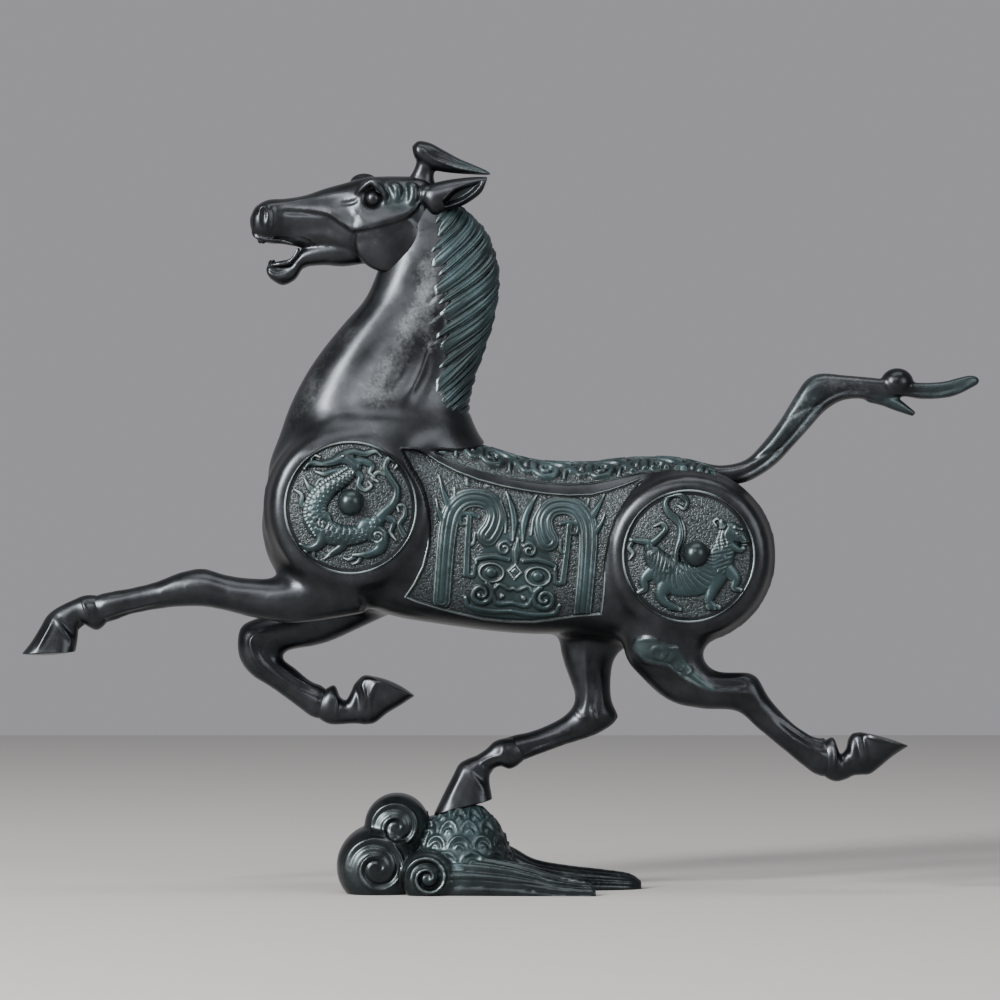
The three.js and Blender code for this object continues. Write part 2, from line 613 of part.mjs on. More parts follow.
// Rows of curls over the hump, each an arc, offset by half a curl from row to row.
function curls() {
  const { x, y, z, rx, ry, rz } = HUMP;
  const rows = 3;
  const pitch = 11;
  const made = [];
  for (let row = 0; row < rows; row++) {
    for (const curl of [-1.5, -0.5, 0.5, 1.5]) {
      const u = (curl + (row % 2) / 2) * pitch;
      const v = 6 + row * 8;
      if (Math.hypot(u / rx, (v + 5) / rz) > 0.93) continue;
      for (const side of [-1, 1]) {
        const arc = spiral(u, v, 5, 5, 0, 0.5, 4).map(([across, up]) => {
          const out = Math.sqrt(Math.max(0.02, 1 - (across / rx) ** 2 - (up / rz) ** 2));
          return new THREE.Vector3(x + across, y + side * ry * out, z + up);
        });
        made.push(stroke(arc, [0.8, 1.3, 0.8], 1.1, 4, 4));
      }
    }
  }
  return union(made);
}

function base() {
  const spirals = [-1, 1].flatMap((side) => ROLLS.map((one) => rollSpiral(one, side)));
  const outerSpirals = SMALL_ROLLS.map((one) => rollSpiral(one, Math.sign(one.y)));
  const wisps = [new RibbedForm(NEAR_WISP, -12, -25).solid(10, 1), new RibbedForm(FAR_WISP, 8, 21).solid(10, 1)];
  const rolls = [...ROLLS, ...SMALL_ROLLS].map(roll);
  const cloud = union([...rolls, ellipsoid(HUMP), ...wisps, ...spirals, ...outerSpirals, curls()]);
  const { hoof, sideAtHoof } = STANDING_HIND_LEG;
  const print = new RibbedForm(hoof, sideAtHoof, sideAtHoof, 2.6).solid(12, 1, CASTING_GAP);
  const floor = solidOf(new THREE.BoxGeometry(400, 200, 100)).translate([0, 0, -50]);
  return cloud.subtract(floor).subtract(print.translate([0, 0, -CASTING_GAP])).subtract(print);
}

const patinatedBrass = new THREE.MeshStandardMaterial({ color: 0x35383b, roughness: 0.38, metalness: 0.85 });

const ornament = new THREE.Group();
ornament.add(meshOf("horse", horse(), patinatedBrass), meshOf("cloud_base", base(), patinatedBrass));

export default ornament;
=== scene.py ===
import bpy
import numpy as np
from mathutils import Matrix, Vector


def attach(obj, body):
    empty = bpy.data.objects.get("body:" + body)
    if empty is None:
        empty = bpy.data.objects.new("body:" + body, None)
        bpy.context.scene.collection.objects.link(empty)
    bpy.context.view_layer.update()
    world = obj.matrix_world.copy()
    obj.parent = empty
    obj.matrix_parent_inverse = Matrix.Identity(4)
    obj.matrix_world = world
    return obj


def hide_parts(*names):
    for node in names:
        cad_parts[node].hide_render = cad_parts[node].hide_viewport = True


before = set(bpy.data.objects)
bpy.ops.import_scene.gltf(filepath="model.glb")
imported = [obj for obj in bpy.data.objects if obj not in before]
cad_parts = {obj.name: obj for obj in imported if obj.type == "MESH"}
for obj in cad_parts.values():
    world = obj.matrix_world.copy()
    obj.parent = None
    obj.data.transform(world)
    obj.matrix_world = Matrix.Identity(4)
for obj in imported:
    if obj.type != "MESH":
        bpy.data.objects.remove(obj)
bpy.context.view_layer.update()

# The body casting: trunk, neck and four legs, hollow-cast in brass in one piece, chased smooth, then
# blackened with liver of sulphur and waxed. The forms run into each other in soft fillets, and tendons and
# folds are chased into them. Each form is a row of ribs: one edge of the outline (x, z), the other edge,
# half width.
TRUNK = [
    (-108, 164.5, -107.5, 161, 4),  # point of the breast
    (-106.5, 176.5, -105, 151, 15),
    (-103.5, 190, -98.5, 140.5, 24),
    (-95, 201, -86, 135, 30.5),  # front of the shoulder
    (-77, 208, -68, 130.5, 34),
    (-54.5, 210, -48, 124, 33),  # elbow
    (-32, 207, -27.5, 120.5, 31.2),
    (-9.5, 201, -5, 117.5, 31),  # withers
    (13, 194.5, 15, 116, 31),  # hollow of the back
    (35.5, 193, 35.5, 116, 31),
    (58, 195, 53.5, 113.5, 31.8),  # flank
    (78, 195, 69, 108, 34.5),  # top of the croup
    (96, 190, 87, 111, 34.5),
    (108.5, 177.5, 102, 120, 29),  # dock
    (115, 163, 111, 130, 19),
    (117, 151, 117, 147.5, 4),  # point of the buttock
]
TRUNK_POWER = 2.7  # of the trunk's rounding, where 2 is an oval
NECK = [
    (-90.5, 167.5, -14, 176.5, 27),  # root, inside the trunk
    (-105, 185.5, -6, 196.5, 28),
    (-99.5, 207, -13.5, 212.5, 26),  # collar
    (-94.5, 220.5, -15, 221.5, 24.5),
    (-87.5, 234, -12.5, 232, 22.5),
    (-79.5, 245.5, -8.5, 244, 21),  # half way up
    (-70.5, 256.5, -5, 255, 19.5),
    (-62.5, 265.5, -2.5, 267.5, 18),
    (-58.5, 273, -2, 279, 16.5),  # throat
    (-54.5, 283.5, -4.5, 290, 15),
    (-51, 293.5, -9, 299, 13.5),
    (-48, 304.5, -16, 306, 12),
    (-45.5, 313.5, -22.5, 311.5, 9),  # poll
]
# The shoulder's cape fills the slope between the medallion and the foot of the neck.
CAPE = [
    (-86, 182, -34, 182, 28),
    (-90, 192, -31, 190, 32.5),
    (-91, 203, -23, 198.5, 33),
    (-90.5, 209, -13, 205, 30.5),
    (-89, 214.5, -12, 211, 26.5),
    (-84, 219, -16, 217, 21),
]
# A leg's sides are how far across the horse it starts and ends. Its last ribs are a core inside the foot,
# which is the fetlock, the pastern and the hoof, with the dome of its sole and the lines that are chased on
# it.
REACHING_FORELEG = {
    "sides": (-18, -14),
    "ribs": [
        (-72.5, 149.5, -60, 126, 13),  # shoulder
        (-95, 142, -90.5, 121.5, 11),
        (-111, 141.5, -109.5, 123.5, 9.5),  # forearm
        (-123, 143, -122, 126.5, 8.8),
        (-133.5, 146, -132.5, 128.5, 8.6),  # knee
        (-144.5, 144, -143.5, 128.5, 7.8),
        (-154.5, 140, -153, 127.5, 6.8),
        (-167, 137, -166, 125, 6.2),  # cannon
        (-178.5, 134.9, -175.4, 121.4, 6.5),
        (-187.5, 130.8, -183.6, 122, 4.6),
        (-202, 117, -194.5, 113, 4),
    ],
    "foot": [
        (-180.5, 134.4, -175.5, 121.6, 6.2),
        (-187, 133.6, -181.2, 118.2, 6.6),  # fetlock and ergot
        (-191, 132, -187.4, 121, 5.8),  # pastern
        (-195.6, 129.9, -189, 119.6, 6),
        (-200.2, 127.3, -189.4, 117.4, 6.6),
        (-203.6, 124.2, -189.6, 115, 7.4),  # coronet
        (-206.3, 119.5, -190, 112.2, 8.2),
        (-210.3, 113, -190.4, 110, 9.2),
        (-214.6, 107.5, -190.8, 108.5, 10),  # sole
    ],
    "dome": 1,
    "lines": [
        ([(-187.6, 132.6), (-186, 128.6), (-184.2, 123.4)], 0.8, 0.45),
        ([(-199.8, 124.6), (-201.4, 120), (-204.2, 114.7), (-207, 109.6)], 1.0, 0.6),
        ([(-199.4, 123.6), (-195.4, 118.2), (-192.6, 114.4), (-192.2, 110.6)], 0.9, 0.6),
        ([(-197.4, 124), (-193.4, 119.4), (-190.8, 115.6)], 1.2, -0.6),
    ],
}
FOLDED_FORELEG = {
    "sides": (18, 14),
    "ribs": [
        (-77, 149.5, -45.5, 127, 13),  # shoulder
        (-86, 136, -61.5, 119.5, 12),
        (-97.5, 129, -79.5, 111.5, 10.5),  # forearm
        (-109.5, 123.5, -95, 108.5, 9.5),
        (-118.5, 119, -101.5, 107, 9),  # knee
        (-119.5, 106.5, -101.5, 106, 8.6),
        (-114, 97.5, -99.5, 104.5, 7.6),
        (-104, 91, -94, 101, 6.8),  # cannon
        (-93, 83, -85.5, 94, 6.4),
        (-84.5, 77.2, -80.4, 92.4, 6.8),
        (-74, 77.5, -73.8, 86, 4.6),
        (-60, 80, -63, 88, 4),
    ],
    "foot": [
        (-83.5, 77.2, -79.4, 91.8, 6.5),
        (-77.8, 75, -75.4, 92.3, 6.9),  # fetlock and ergot
        (-72.8, 74.8, -73, 87.4, 6.2),  # pastern
        (-69, 75.1, -70.4, 86.1, 5.9),
        (-65, 75.1, -68.3, 89.4, 6.3),
        (-61.2, 74.8, -66.8, 92.8, 6.9),  # coronet
        (-57, 75.7, -65, 95, 7.8),
        (-51.6, 79.9, -63.4, 96.5, 8.8),
        (-45, 83.9, -61.8, 97.1, 9.4),
        (-39.2, 87.8, -59.8, 97, 9.6),  # sole
    ],
    "dome": 1.6,
    "lines": [
        ([(-75.2, 89), (-74.4, 84.5), (-74.6, 79)], 0.8, 0.45),
        ([(-61.2, 96), (-62.6, 93), (-61.4, 88), (-62, 82)], 0.9, 0.6),
        ([(-56.5, 94), (-59.2, 89.2), (-59.4, 85), (-58.6, 79.4)], 0.9, 0.6),
        ([(-66, 92), (-65, 87), (-65, 81)], 1.3, -0.5),
    ],
}
STANDING_HIND_LEG = {
    "sides": (16, 6),
    "ribs": [
        (33, 149.5, 80.5, 131.5, 15),  # stifle
        (26.5, 127, 67, 115.5, 14),
        (26, 114.5, 55, 109, 12),  # thigh
        (27.5, 104.5, 50.5, 102.5, 10.5),
        (31.5, 93, 49.5, 93.5, 9),  # gaskin
        (33.5, 86.5, 50, 85, 8.4),
        (29.5, 80, 53, 77.5, 8),  # hock
        (22, 75.5, 43.5, 70.5, 7),
        (13, 72, 28.5, 65.5, 6.3),  # cannon
        (5.2, 70.4, 13, 59.8, 6.5),
        (0.5, 68.8, 7, 57.7, 6.2),
        (-6.4, 63.6, -0.8, 57.2, 4.4),
        (-16, 50, -9, 46, 4),
    ],
    "foot": [
        (4.5, 70, 11, 58.8, 6.3),
        (-2.8, 67.7, 4.2, 55.2, 6.7),  # fetlock and ergot
        (-6.8, 64.2, -0.4, 56.2, 6.1),  # pastern
        (-11, 61.4, -3.6, 55, 5.9),
        (-15.6, 59.5, -5, 53, 6.3),
        (-19.2, 57.2, -5.4, 50.4, 7),  # coronet
        (-22, 52, -5.2, 47.6, 7.8),
        (-25.8, 44.6, -4.6, 44.4, 8.9),
        (-30.8, 34.3, -4.2, 41.5, 10),  # sole
    ],
    "dome": 0,
    "lines": [
        ([(0.8, 66.4), (0.2, 62), (-5, 60.2), (-9, 57.6), (-7.6, 53.4)], 0.8, 0.4),
        ([(-16.4, 56.4), (-18.6, 51.4), (-21.4, 46), (-24.6, 40)], 1.6, 0.35),
        ([(-15.4, 55.4), (-12, 51), (-8.6, 47), (-7.4, 43.6)], 1.3, 0.35),
        ([(-12.6, 55), (-9.6, 51.4), (-6.4, 47.8)], 1.4, -0.4),
    ],
}
TRAILING_HIND_LEG = {
    "sides": (-18, -15),
    "ribs": [
        (55.5, 131.5, 100.5, 127, 16),  # stifle
        (54.5, 109, 91, 110.5, 14),
        (62.5, 97, 90, 106, 12),  # thigh
        (75, 86.5, 95.5, 100, 10.5),
        (89.5, 83, 104, 99.5, 9.2),  # gaskin
        (105, 82, 113.5, 98.5, 8.8),  # hock
        (114, 74.5, 119.5, 88.5, 7.5),
        (125.5, 65, 130, 77, 6.5),  # cannon
        (136.5, 56, 141, 70, 6.5),
        (142.5, 52.6, 145, 70.3, 6.9),
        (153, 54.4, 151.6, 62.6, 4.6),
        (166, 62, 161, 69, 4),
    ],
    "foot": [
        (143, 52.9, 145.4, 70.2, 6.6),
        (149, 50.6, 148.7, 69.7, 7),  # fetlock and ergot
        (153.6, 51.4, 151.4, 63.3, 6.2),  # pastern
        (157.4, 53.1, 153.9, 65.2, 6),
        (161, 53.5, 155, 69.4, 6.4),
        (164.8, 53.9, 156.8, 71.9, 7),  # coronet
        (168.8, 56.8, 159.2, 72.5, 7.9),
        (174.8, 61.8, 160.4, 72.6, 9),
        (182, 66.6, 161.2, 72.5, 10),  # sole
    ],
    "dome": 0.6,
    "lines": [
        ([(148.2, 68), (148.9, 63), (148.6, 56)], 0.8, 0.45),
        ([(161.4, 71.8), (161.7, 69), (162.4, 65), (163.4, 58)], 0.9, 0.6),
        ([(162.4, 71), (168, 69.6), (175, 68.2)], 0.8, 0.5),
        ([(158.6, 71), (158.8, 66.6), (160, 61)], 1.2, -0.5),
    ],
}
LEGS = [REACHING_FORELEG, FOLDED_FORELEG, STANDING_HIND_LEG, TRAILING_HIND_LEG]
SHOULDER = (-67, 173)
HAUNCH = (83, 151.5)
MEDALLION_RADIUS = 29
# The carved panels lie between these lines, as seen from the side: points (x, z), or (z, x) if a line is
# upright.
UPPER_BORDER = [
    (-46, 199.6), (-38, 199), (-34, 197.4), (-28, 193.4), (-20, 189.3), (-10, 185.5), (0, 182.8),
    (10, 180.9), (20, 179.4), (30, 178.6), (40, 179), (48, 181), (56, 183.8), (66, 188),
]
LOWER_BORDER = [
    (-46, 134.5), (-38, 131), (-28, 128), (-18, 125.4), (-8, 123.2), (4, 122), (14, 121.9), (24, 123),
    (34, 124.4), (44, 125.2), (66, 127),
]
FRONT_BORDER = [
    (120, -50), (131, -44.5), (139, -39), (147, -35), (156, -32.8), (165, -32.2), (172, -32.8),
    (179, -34.3), (184.5, -36.6), (190, -40), (198.5, -44.8), (204, -48),
]
REAR_BORDER = [
    (120, 44), (127, 44.6), (136, 45.6), (144, 46), (152, 46.8), (160, 48.3), (168, 51), (175, 55),
    (181, 59.5), (190, 67),
]
COLLAR_LINE = [(-50, 199), (-37, 198.8), (-20, 199.4), (-8.5, 201), (-4, 212)]
SPINE_BORDER = [
    (-34, 199.5), (-28, 196.4), (-20, 192.6), (-10, 189), (0, 186.6), (10, 184.9), (20, 183.7), (30, 183.1),
    (40, 183.6), (50, 185.6), (62, 188.4), (75, 189.6), (86, 188.2), (96, 185),
]
SPINE_END = 97  # x of the spine panel's rear edge


def through(rows, station):
    """Values at any station along a row of ribs or points: a cubic between each two, whose slope at each of
    them is half the step from the one before to the one after."""
    rows = np.asarray(rows, float)
    ends = np.vstack([2 * rows[0] - rows[1], rows, 2 * rows[-1] - rows[-2]])
    station = np.asarray(station, float)
    first = np.clip(np.floor(station).astype(int), 0, len(rows) - 2)
    t = (station - first)[..., None]
    before, start, end, after = (ends[first + step] for step in range(4))
    bend = (2 * t**3 - 3 * t**2 + 1) * start + (3 * t**2 - 2 * t**3) * end
    return bend + (t**3 - 2 * t**2 + t) * (end - before) / 2 + (t**3 - t**2) * (after - start) / 2


def smooth_line(line, steps=6):
    """Points on the smooth line through points, so many steps from each to the next."""
    return through(line, np.linspace(0, len(line) - 1, steps * (len(line) - 1) + 1))


def ribbed(ribs, station, around, sides=(0, 0), power=2.2, lift=0):
    """Points on a form through ribs, lift above it. At a turn a, a point lies reach * c(cos a) from the
    rib's centre along the rib, and side - width * c(sin a) across the horse, with c(v) = sign(v) |v| ** (2
    / power)."""
    x_first, z_first, x_second, z_second, width = np.moveaxis(through(ribs, station), -1, 0)
    turn = 2 * np.pi * np.asarray(around)
    along = np.sign(np.cos(turn)) * np.abs(np.cos(turn)) ** (2 / power)
    across = np.sign(np.sin(turn)) * np.abs(np.sin(turn)) ** (2 / power)
    share = np.clip(np.asarray(station) / (len(ribs) - 1), 0, 1)
    side = sides[0] + (sides[1] - sides[0]) * share
    reach = np.hypot(x_first - x_second, z_first - z_second) / 2
    grown = (1 + lift / reach) * along
    x = (x_first + x_second) / 2 + (x_first - x_second) / 2 * grown
    z = (z_first + z_second) / 2 + (z_first - z_second) / 2 * grown
    return np.stack(np.broadcast_arrays(x, side - (width + lift) * across, z), -1)


def grid_faces(rows, columns, closed=False):
    """Four-sided faces between the neighbours of a grid of points. A closed grid joins its last column to
    its first, and its two end rings are drawn shut by strips of faces from side to side."""
    number = np.arange(rows * columns).reshape(rows, columns)
    if closed:
        number = np.hstack([number, number[:, :1]])
    faces = np.stack([number[:-1, :-1], number[:-1, 1:], number[1:, 1:], number[1:, :-1]], -1).reshape(-1, 4)
    if not closed:
        return faces
    step = np.arange(columns // 2 - 1)
    shut = np.stack([step, columns - 1 - step, columns - 2 - step, step + 1], -1)
    return np.vstack([faces, shut, (shut + (rows - 1) * columns)[:, ::-1]])


def closed_form(rings):
    """A closed form from a grid of points whose rows are rings. Its faces are turned round if the volume
    that they enclose comes out negative."""
    rows, columns, _ = rings.shape
    points = rings.reshape(-1, 3)
    faces = grid_faces(rows, columns, closed=True)
    a, b, c, d = (points[faces[:, corner]] for corner in range(4))
    volume = np.sum(np.cross(c - a, d - b) * (a + b + c + d))
    return points, faces if volume > 0 else faces[:, ::-1]


def ribbed_form(ribs, sides=(0, 0), power=2.2, around=48, steps=6):
    """The closed form through ribs, with so many points around and so many steps from rib to rib."""
    station = np.linspace(0, len(ribs) - 1, steps * (len(ribs) - 1) + 1)
    return closed_form(ribbed(ribs, station[:, None], np.arange(around)[None] / around, sides, power))


def turned_form(profile, centre, side, around=96):
    """A closed turned form about an axis across the horse, from a profile (radius, distance out) as a
    smooth line."""
    radius, out = through(profile, np.linspace(0, len(profile) - 1, 6 * len(profile))).T
    turn = 2 * np.pi * np.arange(around)[None] / around
    x = centre[0] + radius[:, None] * np.cos(turn)
    z = centre[1] + radius[:, None] * np.sin(turn)
    return closed_form(np.stack(np.broadcast_arrays(x, side * out[:, None], z), -1))


def ramp(value, start, length):
    """A value's way from 0 at start to 1 a length further on, held there. A length below 0 runs
    backwards."""
    return np.clip((value - start) / length, 0, 1)


def eased(share):
    """A ramp with soft ends: (3 - 2 s) s ** 2."""
    return (3 - 2 * share) * share**2


def bell(offset, width, power=2):
    """A soft mound over an offset from its middle: exp(-(offset / width) ** power)."""
    return np.exp(-((offset / width) ** power))


def patch(places, middle, widths, power=2):
    """A soft mound over places seen from the side: exp(-(u ** power + v ** power)), with u and v the
    offsets from its middle over its widths."""
    return np.exp(-np.sum(((places - middle) / widths) ** power, axis=1))


def border_at(value, border):
    """Where a border runs: the second number of its points where the first is the value."""
    return np.interp(value, *np.transpose(border))


def flank_at(places):
    """The trunk's half width at places seen from the side: the rib through each place is found by halving,
    and there it is width * (1 - |offset / reach| ** p) ** (1 / p). It swells by 6.5 mm towards the corner
    below the collar."""
    x, z = places.T
    low = np.zeros(len(x))
    high = np.full(len(x), len(TRUNK) - 1.0)
    for _ in range(18):
        station = (low + high) / 2
        x_top, z_top, x_foot, z_foot, width = through(TRUNK, station).T
        before = x_foot + (x_top - x_foot) * (z - z_foot) / (z_top - z_foot) < x
        low = np.where(before, station, low)
        high = np.where(before, high, station)
    offset = np.abs(2 * z - z_top - z_foot) / (z_top - z_foot)
    half_width = width * np.clip(1 - offset**TRUNK_POWER, 0, 1) ** (1 / TRUNK_POWER)
    return half_width + 6.5 * patch(places, (-46, 200), (9, 9))


def inside_flank(places):
    """How many millimetres places lie inside the flank panel's borders: the least of four offsets from
    them, the slanting ones scaled to the distance square to the line."""
    x, z = places.T
    above = z - border_at(x, LOWER_BORDER)
    below = border_at(x, UPPER_BORDER) - z
    behind = x - border_at(z, FRONT_BORDER)
    before = border_at(z, REAR_BORDER) - x
    return np.minimum(np.minimum(above, 0.9 * below), 0.95 * np.minimum(behind, before))


def inside_spine(places):
    """How many millimetres places lie inside the spine panel's borders, as seen from the side. Past the
    collar line's rear end nothing bounds the panel above."""
    x, z = places.T
    above = 0.9 * (z - border_at(x, SPINE_BORDER))
    below = np.interp(x, *np.transpose(COLLAR_LINE), right=300) - z
    return np.minimum(np.minimum(above, below), SPINE_END - x)


def worked(points, faces, kind, **settings):
    """The points and faces that a modifier of this kind makes of a form."""
    mesh = bpy.data.meshes.new("pattern")
    mesh.from_pydata((points / 1000).tolist(), [], faces.tolist())
    pattern = bpy.data.objects.new("pattern", mesh)
    bpy.context.scene.collection.objects.link(pattern)
    modifier = pattern.modifiers.new("work", kind)
    for name, value in settings.items():
        setattr(modifier, name, value)
    result = pattern.evaluated_get(bpy.context.evaluated_depsgraph_get()).data
    new_points = np.empty(3 * len(result.vertices), np.float32)
    result.vertices.foreach_get("co", new_points)
    new_faces = np.empty(len(result.loops), np.int32)
    result.loops.foreach_get("vertex_index", new_faces)
    bpy.data.objects.remove(pattern)
    bpy.data.meshes.remove(mesh)
    return new_points.reshape(-1, 3).astype(float) * 1000, new_faces.reshape(-1, 4).astype(int)


def cast(forms, cube):
    """One skin over overlapping closed forms, remeshed in cubes of this size."""
    starts = np.cumsum([0] + [len(points) for points, _ in forms])
    points = np.vstack([points for points, _ in forms])
    faces = np.vstack([faces + start for (_, faces), start in zip(forms, starts)])
    return worked(points, faces, "REMESH", mode="VOXEL", voxel_size=cube / 1000)


def normals_of(points, faces):
    """Unit normals at the points: the sum of the normals of the faces around each."""
    across = np.cross(points[faces[:, 2]] - points[faces[:, 0]], points[faces[:, 3]] - points[faces[:, 1]])
    corners = faces.ravel()
    total = np.stack([np.bincount(corners, np.repeat(part, 4), len(points)) for part in across.T], -1)
    return total / np.linalg.norm(total, axis=1, keepdims=True).clip(1e-9)


def raised(points, faces, height):
    """Points moved out along their normals by a height each."""
    return points + height[:, None] * normals_of(points, faces)


def neighbour_mean(values, faces):
    """The mean of a value over the neighbours of each point, which share an edge with it."""
    start = faces.ravel()
    end = np.roll(faces, -1, axis=1).ravel()
    count = np.bincount(start, minlength=len(values)).clip(1)
    if values.ndim == 1:
        return np.bincount(start, values[end], len(values)) / count
    return np.stack([np.bincount(start, part[end], len(values)) / count for part in values.T], -1)


def scraped(points, faces, share, rounds):
    """Points evened out: in each round every point goes its share of the way to the mean of its
    neighbours."""
    for _ in range(rounds):
        points = points + share[:, None] * (neighbour_mean(points, faces) - points)
    return points


def run_fillets(points, faces, rounds, share=1.0):
    """Fillets, as wax is run into a pattern's corners. In each round a point that lies below the mean of
    its neighbours goes out along its normal by 0.9 of the share of that depth, one above it goes in by
    0.12, and every point slides a little sideways."""
    for _ in range(rounds):
        normals = normals_of(points, faces)
        gap = neighbour_mean(points, faces) - points
        depth = np.sum(gap * normals, axis=1)
        sideways = gap - depth[:, None] * normals
        along_normal = np.where(depth > 0, 0.9 * share, 0.12) * depth
        points = points + 0.4 * sideways + along_normal[:, None] * normals
    return points


def from_line(places, line, reach=8):
    """For places on a plane: the distance to the smooth line through points, the share of the line passed
    there, and the side, which is 1 to the left of the line and -1 to its right. Past the reach only a far
    value is given."""
    curve = smooth_line(line)
    distance = np.full(len(places), 1e3)
    passed = np.zeros(len(places))
    side = np.ones(len(places))
    near = np.flatnonzero(np.all((places > curve.min(0) - reach) & (places < curve.max(0) + reach), axis=1))
    for number, (start, end) in enumerate(zip(curve[:-1], curve[1:])):
        step = end - start
        offset = places[near] - start
        share = np.clip(offset @ step / (step @ step), 0, 1)
        gap = np.linalg.norm(offset - share[:, None] * step, axis=1)
        closer = gap < distance[near]
        distance[near[closer]] = gap[closer]
        passed[near[closer]] = (number + share[closer]) / (len(curve) - 1)
        side[near[closer]] = np.sign(step[0] * offset[closer, 1] - step[1] * offset[closer, 0])
    return distance, passed, side


def tapered(passed, power=0.5):
    """1 in the middle of a line and nearly 0 at its ends: sin(pi * share passed) ** power."""
    return np.sin(np.pi * passed.clip(0.01, 0.99)) ** power


def sideways_share(normals):
    """1 where a surface faces the side, and 0 where it is turned well away from it."""
    return np.clip(2.2 * np.abs(normals[:, 1]) - 0.3, 0, 1)


def chase(points, faces, lines, between=(-50, 50)):
    """Lines chased into a surface or raised on it, as seen from the side. A line is its points (x, z), its
    half width w and its height h: the surface moves h * exp(-(distance / w) ** 2) along its normal, dying
    out at the line's ends and where the surface turns away from the side. between limits it to that range
    of y."""
    normals = normals_of(points, faces)
    facing = sideways_share(normals) * (points[:, 1] > between[0]) * (points[:, 1] < between[1])
    height = np.zeros(len(points))
    for line, width, rise in lines:
        distance, passed, _ = from_line(points[:, ::2], line)
        height += rise * bell(distance, width) * tapered(passed)
    return points + (height * facing)[:, None] * normals


def srgb(code):
    """A colour code as linear light."""
    value = np.array([int(code[start : start + 2], 16) / 255 for start in (1, 3, 5)])
    linear = np.where(value <= 0.04045, value / 12.92, ((value + 0.055) / 1.055) ** 2.4)
    return (*linear.tolist(), 1.0)


def add_node(tree, kind, inputs=(), output=0, **settings):
    """Adds a shader node, sets its properties, gives its inputs values or links them to other nodes'
    outputs, and returns one of its own outputs, if it has any."""
    node = tree.nodes.new(kind)
    for name, value in settings.items():
        setattr(node, name, value)
    for name, value in dict(inputs).items():
        if isinstance(value, bpy.types.NodeSocket):
            tree.links.new(value, node.inputs[name])
        else:
            node.inputs[name].default_value = value
    return node.outputs[output] if node.outputs else None


